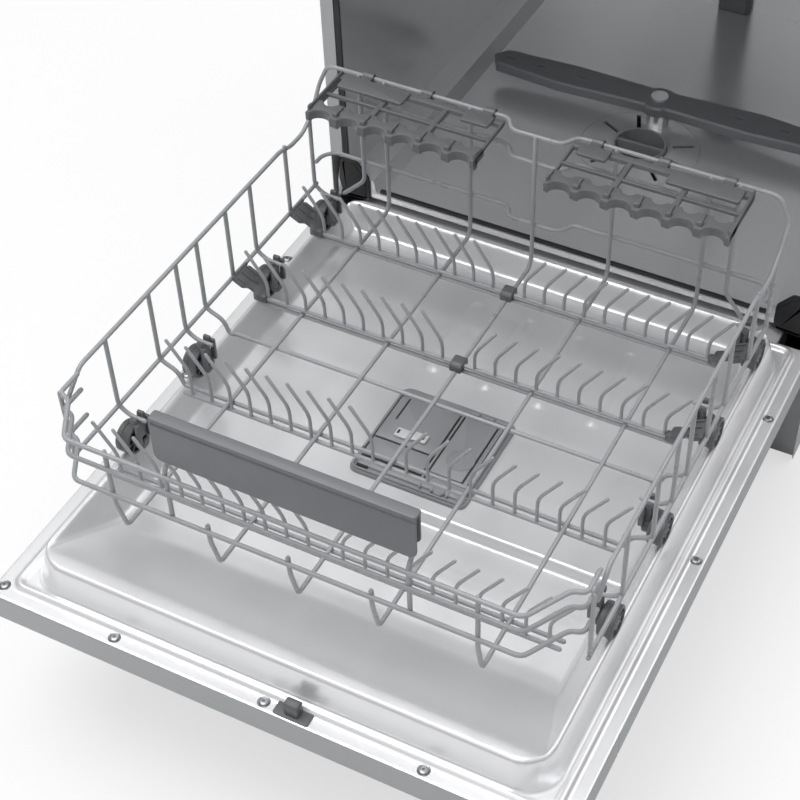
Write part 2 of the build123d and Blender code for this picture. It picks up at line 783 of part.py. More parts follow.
with BuildPart() as dispenser_lid:
    with BuildSketch(Plane.XY.offset(lid_z + 0.3)):
        with Locations((lid_offset, lid_front + lid_length / 2)):
            RectangleRounded(lid_width, lid_length, 5)
    extrude(amount=lid_thickness)
    with BuildSketch(Plane.XY.offset(lid_z + 0.3 + lid_thickness)):
        with Locations((lid_offset + 6, lid_front + 16)):
            Rectangle(30, 8)
    extrude(amount=3)
keep(dispenser_lid, "dispenser_lid")

with BuildPart() as rinse_cap:
    add(drum(cap_place, cap_radius, (lid_z - 7.7, lid_z + 2), 24))
    add(block((cap_place[0] - 10, cap_place[0] + 10), (cap_place[1] - 2.5, cap_place[1] + 2.5),
              (lid_z + 2, lid_z + 5)))
keep(rinse_cap, "rinse_cap")

# The lower rack
front = rack_front_y
rear = rack_rear_y
top_rail_z = floor_z + top_rail_rise
side_rail_z = floor_z + side_rail_rise
rows = [front + y for y in tine_rows]
stations = [front + y for y in wheel_stations]
side_x = rack_half_width
wrap_x = side_x - touch
long_start = front + 26.0
long_end = rear - 34.0
carrier_saddle_z = floor_z + 11.0

with BuildPart() as lower_rack_floor:
    rods = [wire([(x, long_start, floor_z), (x, long_end, floor_z)], wire_size) for x in long_wires]
    for y in (front + cross_wire_y, rows[2], rows[3]):
        rods.append(wire([(-wire_end_x, y, floor_z - weld), (wire_end_x, y, floor_z - weld)], wire_size))
    add(rods)
keep(lower_rack_floor, "lower_rack_floor")

with BuildPart() as lower_rack_front:
    rods = []
    for rise in (top_rail_rise, second_rail_rise, third_rail_rise):
        z = floor_z + rise
        half = [(wrap_x, front + 72, z), (wrap_x, front + 45, z), (wrap_x - 12, front + front_corner_run, z),
                (front_corner_x, front, z)]
        rods.append(wire([(-x, y, z) for x, y, z in half] + half[::-1], wire_size))
    for x in long_wires:
        head_z = top_rail_z if abs(x) > 150 else floor_z + third_rail_rise + 5
        rods.append(wire([(x, front + weld, head_z), (x, front + weld, floor_z + 40),
                          (x, front + 12, floor_z), (x, long_start, floor_z)], wire_size))
    for x in (-handle_post_x, handle_post_x):
        rods.append(wire([(x, front + weld, floor_z + third_rail_rise - 3), (x, front + weld, top_rail_z + 4),
                          (x, front + handle_set_back, top_rail_z + 10),
                          (x, front + handle_set_back, floor_z + handle_top - 8)], wire_size))
    add(rods)
keep(lower_rack_front, "lower_rack_front")

twin_gap = 9.0
side_stations = {"cross": [rows[1] + twin_gap, front + cross_wire_y], "mid": rows[2:], "wheel": stations}
for name, side in (("lower_rack_left", -1), ("lower_rack_right", 1)):
    x = side * side_x
    end_x = side * wire_end_x
    with BuildPart() as rack_side:
        rods = [wire([(x, front + 58, top_rail_z - 21), (x, front + 82, top_rail_z),
                      (x, rear - jog_end - 20, top_rail_z), (x, rear - jog_end, top_rail_z - jog_drop),
                      (x, rear - jog_start, top_rail_z - jog_drop),
                      (x, rear - rise_start, top_rail_z + jog_drop - 1),
                      (x, rear + 1, top_rail_z + rise_height),
                      (side * (side_x - 11), rear, shelf_z - 4), (side * (side_x - 19), rear, shelf_z),
                      (side * (side_x - rail_joint), rear, shelf_z)], wire_size),
                wire([(x, front + 47, side_rail_z), (x, rear - 20, side_rail_z)], wire_size),
                wire([(x, front + 49.5, side_rail_z), (x, front + 49.5, top_rail_z - 6)], wire_size)]
        for y in side_stations["cross"]:
            rods.append(wire([(x, y, top_rail_z), (x, y, side_rail_z),
                              (side * (side_x - 20), y, side_rail_z - 9),
                              (side * (side_x - 26), y, cross_z), (end_x, y, cross_z)], wire_size))
        for y in side_stations["mid"]:
            rods.append(wire([(x, y, top_rail_z), (x, y, side_rail_z - 2)], wire_size))
        for y in side_stations["wheel"]:
            rods.append(wire([(x, y, top_rail_z), (x, y, side_rail_z),
                              (side * (side_x - 13), y, carrier_saddle_z),
                              (side * (side_x - 29), y, carrier_saddle_z)], wire_size))
        add(rods)
    keep(rack_side, name)

post_x = side_x - 52.0
with BuildPart() as lower_rack_rear:
    rods = []
    jog = [(rear_jog_width + 6, rear), (rear_jog_width - 4, rear - rear_jog_depth)]
    for rise, tail in ((shelf_rail_rise, [(side_x - rail_joint - 0.3, rear)]),
                       (shelf_stop_rise, [(post_x + 3, rear)]),
                       (rear_rail_rise, [(wrap_x, rear - 24), (wrap_x, rear - 12), (wrap_x - 11, rear)])):
        half = tail + jog
        rods.append(wire([(-x, y, floor_z + rise) for x, y in half]
                         + [(x, y, floor_z + rise) for x, y in half[::-1]], wire_size))
    for x in long_wires:
        back = rear - weld - (0 if x else rear_jog_depth)
        rods.append(wire([(x, long_end, floor_z), (x, back - 6, floor_z), (x, back, floor_z + 10),
                          (x, back, shelf_z)], wire_size))
    for side in (-1, 1):
        rods.append(wire([(side * post_x, rear - weld, shelf_z), (side * post_x, rear - weld, floor_z + 29),
                          (side * (side_x - 29), rear - 10, floor_z + 9)], wire_size))
    add(rods)
keep(lower_rack_rear, "lower_rack_rear")

tine_places = [side * (tine_first + tine_pitch * i) for side in (-1, 1) for i in range(tines_each_side)]


def tine_row(y, base_z, half):
    """A wire across the rack with its tines standing on it, each half leaning outward."""
    rods = [wire([(-half, y, base_z), (half, y, base_z)], wire_size)]
    for x in tine_places:
        lean = tine_lean if x > 0 else -tine_lean
        rods.append(wire([(x, y, base_z), (x, y, floor_z + tine_kink), (x + lean, y, floor_z + tine_top)],
                         tine_size))
    return rods


with BuildPart() as fixed_tine_rows:
    add(tine_row(rows[0], cross_z, wire_end_x) + tine_row(rows[1], cross_z, wire_end_x))
    add([wire([(-wire_end_x, y + twin_gap, cross_z), (wire_end_x, y + twin_gap, cross_z)], wire_size)
         for y in rows[:2]])
keep(fixed_tine_rows, "fixed_tine_rows")

pivot_half = wire_end_x + 1.0
for name, y in (("third_tine_row", rows[2]), ("rear_tine_row", rows[3])):
    with BuildPart() as folding_row:
        add(tine_row(y, pivot_z, pivot_half))
    keep(folding_row, name)

bore = wire_size / 2 + bore_play
with BuildPart() as tine_locks:
    for y in rows[2:]:
        for side in (-1, 1):
            with BuildSketch(Plane.XZ.offset(-(y + 20))):
                with BuildLine():
                    Polyline(*[(side * x, z) for x, z in (
                        (pivot_half - 6, pivot_z - 5), (pivot_half + 4, pivot_z - 5),
                        (side_x - 2.6, side_rail_z - 5), (side_x - 2.6, side_rail_z + 6),
                        (side_x - 15, side_rail_z + 6), (pivot_half - 6, pivot_z + 6))], close=True)
                make_face()
            extrude(amount=27)
            add(axle(sorted((side * (pivot_half - 12), side * (pivot_half + 1))), y, pivot_z, bore, 8),
                mode=Mode.SUBTRACT)
keep(tine_locks, "tine_locks")

with BuildPart() as tine_clips:
    for y in rows[2:]:
        add(slab([(y - 9, floor_z), (y + 9, floor_z), (y + 9, pivot_z + 3), (y + 5, pivot_z + 6),
                  (y - 5, pivot_z + 6), (y - 9, pivot_z + 3)], (-6.5, 6.5)))
        add(block((-saddle_half, saddle_half), (y - 12, y + 12), (floor_z - 4, floor_z + 2.5)),
            mode=Mode.SUBTRACT)
        add(axle((-9, 9), y, pivot_z, bore, 8), mode=Mode.SUBTRACT)
keep(tine_clips, "tine_clips")

with BuildPart() as rack_handle:
    middle = front + handle_set_back
    outside = handle_thickness / 2
    add(slab([(middle - outside, floor_z + handle_bottom), (middle + outside, floor_z + handle_bottom + 8),
              (middle + outside, floor_z + handle_top - 3), (middle + outside - 3, floor_z + handle_top),
              (middle - outside + 3, floor_z + handle_top), (middle - outside, floor_z + handle_top - 3)],
             (-handle_half_width, handle_half_width)))
    add(block((handle_wall - handle_half_width, handle_half_width - handle_wall),
              (middle - outside + handle_wall, middle + outside - handle_wall),
              (floor_z + handle_bottom - 1, floor_z + handle_top - handle_wall - 2)), mode=Mode.SUBTRACT)
keep(rack_handle, "rack_handle")

# Wheels and their carriers, four on each side
wheel_inner = wheel_outer_face - wheel_width
carrier_outer = wheel_inner - 0.6
carrier_inner = carrier_outer - 11.0
with BuildPart() as wheel_carriers:
    for side in (-1, 1):
        for y in stations:
            saddle = carrier_saddle_z - wire_size / 2
            add(slab([(y - 8, axle_z - 10), (y + 8, axle_z - 10), (y + 11, axle_z), (y + 9, saddle + 6),
                      (y - 9, saddle + 6), (y - 11, axle_z)],
                     sorted((side * carrier_inner, side * carrier_outer))))
            add(block(sorted((side * (carrier_inner - 1), side * (carrier_outer + 1))),
                      (y - saddle_half, y + saddle_half), (saddle, saddle + 9)),
                mode=Mode.SUBTRACT)
            add(axle(sorted((side * (carrier_outer - 1), side * (wheel_outer_face - 1))), y, axle_z,
                     wheel_pin_radius, 8))
keep(wheel_carriers, "wheel_carriers")

for side_name, side in (("left", -1), ("right", 1)):
    for count, y in enumerate(stations, start=1):
        inner = side * wheel_inner
        outer = side * wheel_outer_face
        with BuildPart() as wheel:
            add(axle(sorted((inner, outer)), y, axle_z, wheel_radius, 20))
            add(axle(sorted((inner - side, outer + side)), y, axle_z, wheel_pin_radius + pin_play, 10),
                mode=Mode.SUBTRACT)
            with BuildSketch(Plane.YZ.offset(outer)):
                with Locations((y, axle_z)):
                    with PolarLocations(10, 5):
                        RegularPolygon(3.6, 4)
            extrude(amount=-side * 4, mode=Mode.SUBTRACT)
        keep(wheel, f"{side_name}_wheel_{count}")

# The two cup shelves on the rear rail
for name, side in (("cup_shelf_left", -1), ("cup_shelf_right", 1)):
    middle = (shelf_inner_x + shelf_outer_x) / 2
    length = shelf_outer_x - shelf_inner_x
    back = rear - 9.0
    with BuildPart() as shelf:
        with BuildSketch(Plane.XY.offset(shelf_z - shelf_thickness / 2)):
            with Locations((side * middle, back - shelf_depth / 2)):
                Rectangle(length, shelf_depth)
            pitch = length / shelf_notches
            with Locations(*[(side * (shelf_inner_x + pitch * (i + 0.5)), back - shelf_depth - 4)
                             for i in range(shelf_notches)]):
                RegularPolygon(shelf_notch_radius, 10, mode=Mode.SUBTRACT)
            with Locations((side * middle, back - 22)):
                with GridLocations(pitch, 1, shelf_notches, 1):
                    Rectangle(pitch - 12, 20, mode=Mode.SUBTRACT)
        extrude(amount=shelf_thickness)
        for x in (shelf_inner_x + 22, (shelf_inner_x + shelf_outer_x) / 2 - 2, shelf_outer_x - 28):
            lug = sorted((side * (x - 6), side * (x + 6)))
            add(axle(lug, rear, shelf_z, shelf_hinge_radius, 8))
            add(block(lug, (back - 1, rear - 3),
                      (shelf_z - shelf_thickness / 2, shelf_z + shelf_thickness / 2)))
            add(axle(sorted((side * (x - 8), side * (x + 8))), rear, shelf_z, bore, 8),
                mode=Mode.SUBTRACT)
    keep(shelf, name)

# The upper rack, pushed in
upper_rear = tub_back_y - upper_rear_gap
upper_front = upper_rear - upper_depth
upper_top = upper_floor + upper_rise
upper_x = upper_half_width
upper_long = [upper_half_width * i / 3 for i in range(-2, 3)]
upper_cross = [upper_front + upper_depth * (i + 0.5) / 6 for i in range(6)]
upper_cross_z = upper_floor - weld
bend = 8.0
with BuildPart() as upper_rack_floor:
    rods = [wire([(x, upper_front + 2 * bend, upper_floor), (x, upper_rear - 2 * bend, upper_floor)],
                 wire_size) for x in upper_long]
    for y in upper_cross:
        rods.append(wire([(2 * bend - upper_x, y, upper_cross_z), (upper_x - 2 * bend, y, upper_cross_z)],
                         wire_size))
    add(rods)
keep(upper_rack_floor, "upper_rack_floor")

with BuildPart() as upper_rack_walls:
    rods = []
    for z in (upper_floor + 40, upper_top):
        for side in (-1, 1):
            x = side * upper_x
            rods.append(wire([(x, upper_front + bend, z), (x, upper_rear - bend, z)], wire_size))
        for y, inward in ((upper_front, bend), (upper_rear, -bend)):
            half = [(upper_x, y + 1.5 * inward, z), (upper_x, y + inward, z), (upper_x - bend, y, z)]
            rods.append(wire([(-x, y, z) for x, y, z in half] + half[::-1], wire_size))
    for y in upper_cross[::2] + upper_cross[-1:]:
        for side in (-1, 1):
            rods.append(wire([(side * upper_x, y, upper_top), (side * upper_x, y, upper_floor + bend),
                              (side * (upper_x - bend), y, upper_cross_z),
                              (side * (upper_x - 2 * bend), y, upper_cross_z)], wire_size))
    for y, inward in ((upper_front, bend), (upper_rear, -bend)):
        for x in upper_long:
            rods.append(wire([(x, y, upper_top), (x, y, upper_floor + bend), (x, y + inward, upper_floor),
                              (x, y + 2 * inward, upper_floor)], wire_size))
    add(rods)
keep(upper_rack_walls, "upper_rack_walls")

rail_z = upper_floor + 70.0
rail_y = (tub_front_y + 18, tub_back_y - 40)
with BuildPart() as rack_rails:
    for side in (-1, 1):
        add(block(sorted((side * (tub_half_width - rail_thickness), side * tub_half_width)), rail_y,
                  (rail_z - rail_height / 2, rail_z + rail_height / 2)))
keep(rack_rails, "rack_rails")

slide_outer = tub_half_width - rail_thickness - rail_gap
with BuildPart() as upper_slides:
    for side in (-1, 1):
        add(block(sorted((side * (slide_outer - rail_thickness), side * slide_outer)),
                  (rail_y[0] + 4, rail_y[1] - 4),
                  (rail_z - rail_height / 2 + 3, rail_z + rail_height / 2 - 3)))
keep(upper_slides, "upper_slides")

bracket_outer = slide_outer - rail_thickness - rail_gap
with BuildPart() as upper_rack_brackets:
    for side in (-1, 1):
        add(block(sorted((side * (upper_x + wire_size / 2), side * bracket_outer)),
                  (upper_front + 30, upper_rear - 30), (rail_z - 8, rail_z + 8)))
    add(block((-duct_half, duct_half), (upper_cross[2] - 8, tub_back_y - pipe_depth - 1), duct_z))
    nut_z = upper_arm_z - arm_play
    add(drum(sump_centre, duct_half, (upper_arm_z + arm_height + arm_play, duct_z[0]), 16))
    add(drum(sump_centre, arm_pin_radius, (nut_z, upper_arm_z + arm_height + arm_play), 12))
    add(drum(sump_centre, arm_nut_radius, (nut_z - arm_nut_height, nut_z), 12))
    for y in (upper_cross[2], upper_cross[4]):
        add(block((-10, 10), (y - 6, y + 6), (duct_z[1], upper_floor - 2)))
        add(block((-11, 11), (y - saddle_half, y + saddle_half), (upper_cross_z - 3, upper_floor)),
            mode=Mode.SUBTRACT)
        add(block((-saddle_half, saddle_half), (y - 7, y + 7), (upper_floor - 3, upper_floor)),
            mode=Mode.SUBTRACT)
keep(upper_rack_brackets, "upper_rack_brackets")
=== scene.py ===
"""The looks of an open dishwasher: its door sheet, racks, wheels, shelves, tub and finishes."""
import math

import bpy
import numpy as np
from bpy.props import FloatProperty, FloatVectorProperty, IntProperty, PointerProperty
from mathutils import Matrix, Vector


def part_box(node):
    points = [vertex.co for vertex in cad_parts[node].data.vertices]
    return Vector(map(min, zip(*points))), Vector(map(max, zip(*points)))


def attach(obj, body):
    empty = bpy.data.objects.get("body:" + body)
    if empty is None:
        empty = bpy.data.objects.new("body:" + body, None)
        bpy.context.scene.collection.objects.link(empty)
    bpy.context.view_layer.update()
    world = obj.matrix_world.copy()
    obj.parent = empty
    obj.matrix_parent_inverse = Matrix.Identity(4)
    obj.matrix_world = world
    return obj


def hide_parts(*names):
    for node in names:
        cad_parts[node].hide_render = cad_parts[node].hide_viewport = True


bl_info = {
    "name": "Open dishwasher",
    "version": (1, 0, 0),
    "blender": (4, 5, 0),
    "location": "View3D > Sidebar > Dishwasher",
    "description": "Dresses the open dishwasher's frame with its sheets, wires, mouldings and finishes",
    "category": "Object",
}

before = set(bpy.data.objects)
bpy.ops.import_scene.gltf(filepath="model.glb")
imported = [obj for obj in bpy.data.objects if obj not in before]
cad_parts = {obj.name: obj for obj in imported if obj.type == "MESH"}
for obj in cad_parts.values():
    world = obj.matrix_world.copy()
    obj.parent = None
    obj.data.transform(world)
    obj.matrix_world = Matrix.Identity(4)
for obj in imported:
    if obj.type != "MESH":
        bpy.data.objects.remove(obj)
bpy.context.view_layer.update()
MM = 0.001


def corners(*names):
    """The lowest and highest corner of some of the frame's nodes together, in millimetres."""
    boxes = [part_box(name) for name in names]
    low = np.min([np.array(box[0]) for box in boxes], axis=0) / MM
    high = np.max([np.array(box[1]) for box in boxes], axis=0) / MM
    return low, high


# Places read from the frame, in millimetres
DOOR_LOW, DOOR_HIGH = corners("inner_door")
CLIP_LOW = corners("tine_clips")[0]
HANDLE_LOW, HANDLE_HIGH = corners("rack_handle")
DISPENSER_LOW, DISPENSER_HIGH = corners("dispenser_body")
UPPER_LOW, UPPER_HIGH = corners("upper_rack_walls")
WHEEL_LOW, WHEEL_HIGH = corners("right_wheel_1")

WIRE = 4.6
TINE = 3.6
WELD = WIRE * 0.6
RIM_HEIGHT = 36.0
PANEL_RISE = 10.0
DOOR_HALF = DOOR_HIGH[0]
FREE_Y = DOOR_LOW[1]
DOOR_END_Y = DOOR_HIGH[1]
FLANGE_Z = DOOR_HIGH[2] - RIM_HEIGHT
PANEL_Z = FLANGE_Z + PANEL_RISE
AXLE_Z = (WHEEL_LOW[2] + WHEEL_HIGH[2]) / 2
WHEEL_RADIUS = (WHEEL_HIGH[2] - WHEEL_LOW[2]) / 2
WHEEL_OUTER = WHEEL_HIGH[0]
WHEEL_INNER = WHEEL_LOW[0]

# The lower rack, from the lines of its wires
FLOOR_Z = CLIP_LOW[2]
TOP_Z = FLOOR_Z + 108.0
SIDE_RAIL_Z = FLOOR_Z + 20.0
SHELF_Z = FLOOR_Z + 167.0
CROSS_Z = FLOOR_Z - WIRE
PIVOT_Z = FLOOR_Z + WIRE + 0.3
SADDLE_Z = FLOOR_Z + 11.0
SIDE_X = WHEEL_OUTER
WRAP_X = SIDE_X - WIRE
WIRE_END_X = SIDE_X - 32.0
FRONT_Y = HANDLE_LOW[1] - 2.5
REAR_Y = (WHEEL_LOW[1] + WHEEL_HIGH[1]) / 2 + 405.0
LONG_WIRES = (-181.0, -81.0, 0.0, 81.0, 181.0)
ROWS = FRONT_Y + np.array([61.5, 184.0, 331.5, 449.5])
STATIONS = FRONT_Y + np.array([121.5, 240.5, 378.5, 502.5])
CROSS_WIRE_Y = FRONT_Y + 277.5
TWIN_GAP = 9.0
FIRST_TINE = 18.0
TINE_PITCH = 22.6
TINES_PER_SIDE = 10
TINE_PLACES = [side * (FIRST_TINE + TINE_PITCH * i) for side in (-1, 1) for i in range(TINES_PER_SIDE)]
TINE_BEND_RISE = 28.0
TINE_TIP_RISE = 61.0
TINE_LEAN = 22.0
WHEEL_RIBS = 8
SHELF_NOTCHES = 6
FRONT_NOTCH_RADIUS = 12.0
REAR_NOTCH_RADIUS = 8.0


class DishwasherSizes(bpy.types.PropertyGroup):
    """Sizes of wires and mouldings, in metres."""

    wire: FloatProperty(name="Wire", description="Diameter of the racks' frame wire",
                        default=WIRE * MM, unit="LENGTH")
    tine: FloatProperty(name="Tine", description="Diameter of the tines' wire",
                        default=TINE * MM, unit="LENGTH")
    wire_bend: FloatProperty(name="Wire bend", description="How far from a corner a wire's bend starts",
                             default=0.007, unit="LENGTH")
    wire_sides: IntProperty(name="Wire sides", description="Sides of a wire's section", default=10, min=6)
    door_step: FloatProperty(name="Door mesh step",
                             description="Spacing of the door sheet's mesh at its bends", default=0.0021,
                             unit="LENGTH")


class DishwasherColours(bpy.types.PropertyGroup):
    """Finishes of steel, wire, plastic and rubber, whose black also stands as painted shade in the
    dispenser's gaps.
    """

    steel: FloatVectorProperty(name="Steel", description="Bright satin steel of the door sheet and tub",
                               default=(0.80, 0.805, 0.815), subtype="COLOR", size=3)
    edge_steel: FloatVectorProperty(name="Door edge", description="Darker brushed steel round the door",
                                    default=(0.36, 0.37, 0.38), subtype="COLOR", size=3)
    wire: FloatVectorProperty(name="Wire coat", description="Grey coat on the rack wires",
                              default=(0.32, 0.33, 0.34), subtype="COLOR", size=3)
    wheel: FloatVectorProperty(name="Wheel grey", description="Dark grey of wheels, carriers and clips",
                               default=(0.10, 0.105, 0.11), subtype="COLOR", size=3)
    handle: FloatVectorProperty(name="Handle grey", description="Grey of the rack's handle",
                                default=(0.15, 0.155, 0.165), subtype="COLOR", size=3)
    dispenser: FloatVectorProperty(name="Dispenser grey", description="Grey of the dispenser",
                                   default=(0.235, 0.24, 0.25), subtype="COLOR", size=3)
    shelf: FloatVectorProperty(name="Shelf grey", description="Grey of the cup shelves",
                               default=(0.125, 0.13, 0.135), subtype="COLOR", size=3)
    # The black of the rubber seals and covers, also laid as painted shade in the dispenser's gaps and
    # grooves.
    rubber_and_gap_shade: FloatVectorProperty(name="Rubber", description="Black of seals and covers",
                                default=(0.012, 0.012, 0.013), subtype="COLOR", size=3)
    floor: FloatVectorProperty(name="Floor", description="Pale floor under the machine",
                               default=(0.90, 0.90, 0.90), subtype="COLOR", size=3)


def sizes():
    return bpy.context.scene.dishwasher_sizes


def colours():
    return bpy.context.scene.dishwasher_colours


# Shapes, as whole arrays of corners in millimetres

def rounded_path(points, bend, steps=4, closed=False):
    """Straight runs joined by bends. At each corner the line follows a quadratic curve from a
    point before it to a point after it, each at the bend's length or nearly half of its run."""
    points = np.asarray(points, float)
    bends = np.broadcast_to(bend, len(points))
    before, after = np.roll(points, 1, 0), np.roll(points, -1, 0)
    t = np.linspace(0, 1, steps + 1)[:, None]
    pieces = [] if closed else [points[:1]]
    for i in range(len(points)) if closed else range(1, len(points) - 1):
        back, ahead = before[i] - points[i], after[i] - points[i]
        back_run, ahead_run = np.linalg.norm(back), np.linalg.norm(ahead)
        cut = min(bends[i], 0.47 * back_run, 0.47 * ahead_run)
        start = points[i] + back / back_run * cut
        end = points[i] + ahead / ahead_run * cut
        pieces.append((1 - t) ** 2 * start + 2 * t * (1 - t) * points[i] + t ** 2 * end)
    if not closed:
        pieces.append(points[-1:])
    return np.concatenate(pieces)


def grid_faces(rows, columns, wrap_rows=False, wrap_columns=False):
    """Four-sided faces over a grid of corners counted row by row."""
    row = np.arange(rows if wrap_rows else rows - 1)[:, None]
    column = np.arange(columns if wrap_columns else columns - 1)[None, :]
    next_row, next_column = (row + 1) % rows, (column + 1) % columns
    quads = [row * columns + column, row * columns + next_column,
             next_row * columns + next_column, next_row * columns + column]
    return np.stack(np.broadcast_arrays(*quads), -1).reshape(-1, 4)


def tube(points, size, bend=None, steps=4, sides=None, tips=True):
    """A round wire: a circle carried along a rounded path, in the plane square to it. The circle
    starts from the cross product of the path's direction and a slanted line. Its tips are half round."""
    bend = sizes().wire_bend / MM if bend is None else bend
    sides = sides or sizes().wire_sides
    path = rounded_path(points, bend, steps)
    along = np.gradient(path, axis=0)
    along /= np.linalg.norm(along, axis=1)[:, None]
    side = np.cross(along, (0.48, 0.62, 0.62))
    side /= np.linalg.norm(side, axis=1)[:, None]
    up = np.cross(along, side)
    radius = np.full(len(path), size / 2)
    if tips:
        turn = np.radians([75, 40])
        first = path[0] - along[0] * size / 2 * np.sin(turn)[:, None]
        last = path[-1] + along[-1] * size / 2 * np.sin(turn[::-1])[:, None]
        path = np.concatenate([first, path, last])
        side = np.concatenate([side[:1], side[:1], side, side[-1:], side[-1:]])
        up = np.concatenate([up[:1], up[:1], up, up[-1:], up[-1:]])
        radius = np.concatenate([size / 2 * np.cos(turn), radius, size / 2 * np.cos(turn[::-1])])
    angle = np.arange(sides) * 2 * np.pi / sides
    ring = side[:, None] * np.cos(angle)[:, None] + up[:, None] * np.sin(angle)[:, None]
    verts = path[:, None] + ring * radius[:, None, None]
    return loft(verts)


def loft(rings, caps=True, wrap=False):
    """A skin over rings of corners, each ring closed. Both ends are closed by one face each."""
    rings = np.asarray(rings, float)
    count, sides = rings.shape[:2]
    faces = [face.tolist() for face in grid_faces(count, sides, wrap, True)]
    if caps and not wrap:
        faces.append(list(range(sides))[::-1])
        faces.append(list(range((count - 1) * sides, count * sides)))
    return rings.reshape(-1, 3), faces


def inset_outline(outline, distance):
    """A closed outline moved inward by a distance, square to the line through its neighbours."""
    ahead = np.roll(outline, -1, 0) - outline
    back = outline - np.roll(outline, 1, 0)
    ahead /= np.linalg.norm(ahead, axis=1)[:, None]
    back /= np.linalg.norm(back, axis=1)[:, None]
    normal = np.stack([-(ahead + back)[:, 1], (ahead + back)[:, 0]], 1)
    length = np.linalg.norm(normal, axis=1)[:, None]
    normal /= length
    half = np.clip(length / 2, 0.5, 1)
    return outline + normal * distance / half


def prism(outline, low, high, edge=0.6, axis="z", steps=2):
    """A plate of a closed outline between two depths, with rounded edges: the outline is drawn
    in by edge times one minus the sine as it nears each face. Axis z has the outline in X and
    Y, axis x in Y and Z, axis y in X and Z."""
    outline = np.asarray(outline, float)
    area = np.sum(outline[:, 0] * np.roll(outline[:, 1], -1) - np.roll(outline[:, 0], -1) * outline[:, 1])
    if area < 0:
        outline = outline[::-1]
    edge = min(edge, (high - low) / 2.2)
    turn = np.linspace(0, np.pi / 2, steps + 1)
    inset = edge * (1 - np.sin(turn))
    depth = edge * (1 - np.cos(turn))
    levels = np.concatenate([low + depth, high - depth[::-1]])
    insets = np.concatenate([inset, inset[::-1]])
    rings = []
    for level, amount in zip(levels, insets):
        flat = inset_outline(outline, amount)
        fill = np.full(len(flat), level)
        rings.append({"z": (flat[:, 0], flat[:, 1], fill), "x": (fill, flat[:, 0], flat[:, 1]),
                      "y": (flat[:, 0], fill, flat[:, 1])}[axis])
    rings = np.stack([np.stack(ring, 1) for ring in rings])
    verts, faces = loft(rings)
    if axis == "y":
        faces = [face[::-1] for face in faces]
    return verts, faces


def rounded_rectangle(low, high, radius, steps=4):
    """A rectangle's outline with rounded corners."""
    return rounded_path([(low[0], low[1]), (high[0], low[1]), (high[0], high[1]), (low[0], high[1])],
                        radius, steps, closed=True)


def brick(low, high, radius=2.0, edge=0.6, axis="z"):
    """A block between two corners, with rounded upright corners and rounded edges."""
    low, high = np.minimum(low, high), np.maximum(low, high)
    a, b, c = {"z": (0, 1, 2), "x": (1, 2, 0), "y": (0, 2, 1)}[axis]
    outline = rounded_rectangle((low[a], low[b]), (high[a], high[b]), radius)
    return prism(outline, low[c], high[c], edge, axis)


def turned(profile, centre, axis="x", sides=32):
    """A closed profile of radius and distance turned round an axis: each corner is the radius
    times the cosine and sine of the turn, at its distance along the axis."""
    profile = np.asarray(profile, float)
    angle = np.arange(sides) * 2 * np.pi / sides
    across = profile[None, :, 0] * np.cos(angle)[:, None]
    upward = profile[None, :, 0] * np.sin(angle)[:, None]
    along = np.broadcast_to(profile[None, :, 1], across.shape)
    order = {"x": (along, across, upward), "y": (upward, along, across), "z": (across, upward, along)}[axis]
    verts = np.stack(order, -1) + np.asarray(centre, float)
    area = np.sum(profile[:, 0] * np.roll(profile[:, 1], -1) - np.roll(profile[:, 0], -1) * profile[:, 1])
    faces = grid_faces(sides, len(profile), True, True)
    if area > 0:
        faces = faces[:, ::-1]
    return verts.reshape(-1, 3), faces.tolist()


def mirrored(part):
    """The same part on the other side of the machine, its faces turned to point outward."""
    verts, faces = part
    return verts * (-1, 1, 1), [face[::-1] for face in faces]


def build(name, parts, body, material, replaces=(), smooth=30.0):
    """One mesh object of several parts. It rides on its body and stands for the named nodes."""
    start, verts, faces = 0, [], []
    for corners_of_part, faces_of_part in parts:
        verts.append(np.asarray(corners_of_part, float))
        faces += [[i + start for i in face] for face in faces_of_part]
        start += len(corners_of_part)
    mesh = bpy.data.meshes.new(name)
    mesh.from_pydata((np.concatenate(verts) * MM).tolist(), [], faces)
    mesh.update()
    mesh.validate()
    mesh.polygons.foreach_set("use_smooth", np.ones(len(mesh.polygons), bool))
    if smooth:
        mesh.set_sharp_from_angle(angle=math.radians(smooth))
    piece = bpy.data.objects.new(name, mesh)
    bpy.context.scene.collection.objects.link(piece)
    mesh.materials.append(material)
    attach(piece, body)
    if replaces:
        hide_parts(*replaces)
    return piece


def thicken(piece, thickness, offset=-1.0):
    """Give a sheet its thickness."""
    solid = piece.modifiers.new("Sheet", "SOLIDIFY")
    solid.thickness = thickness * MM
    solid.offset = offset
    solid.use_even_offset = True


def dress(name, look, bevel=0.0):
    """Give one of the frame's own nodes its finish, and softened edges where a bevel is named."""
    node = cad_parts[name]
    node.data.materials.clear()
    node.data.materials.append(finish(look))
    if bevel:
        weld = node.modifiers.new("Weld", "WELD")
        weld.merge_threshold = 0.00001
        soft = node.modifiers.new("Edges", "BEVEL")
        soft.width = bevel * MM
        soft.segments = 2
        soft.limit_method = "ANGLE"
        soft.angle_limit = math.radians(50)


# Finishes

def new_group(name, inputs, outputs):
    """An empty shader node group with float inputs and named outputs."""
    group = bpy.data.node_groups.new(name, "ShaderNodeTree")
    for label, value in inputs.items():
        socket = group.interface.new_socket(label, in_out="INPUT", socket_type="NodeSocketFloat")
        socket.default_value = value
    for label, kind in outputs.items():
        group.interface.new_socket(label, in_out="OUTPUT", socket_type=kind)
    return group, group.nodes.new("NodeGroupInput"), group.nodes.new("NodeGroupOutput")


def math_node(tree, operation, first, second):
    """A Math node fed by sockets or plain numbers."""
    node = tree.nodes.new("ShaderNodeMath")
    node.operation = operation
    for socket, value in zip(node.inputs, (first, second)):
        if isinstance(value, (int, float)):
            socket.default_value = value
        else:
            tree.links.new(value, socket)
    return node.outputs[0]


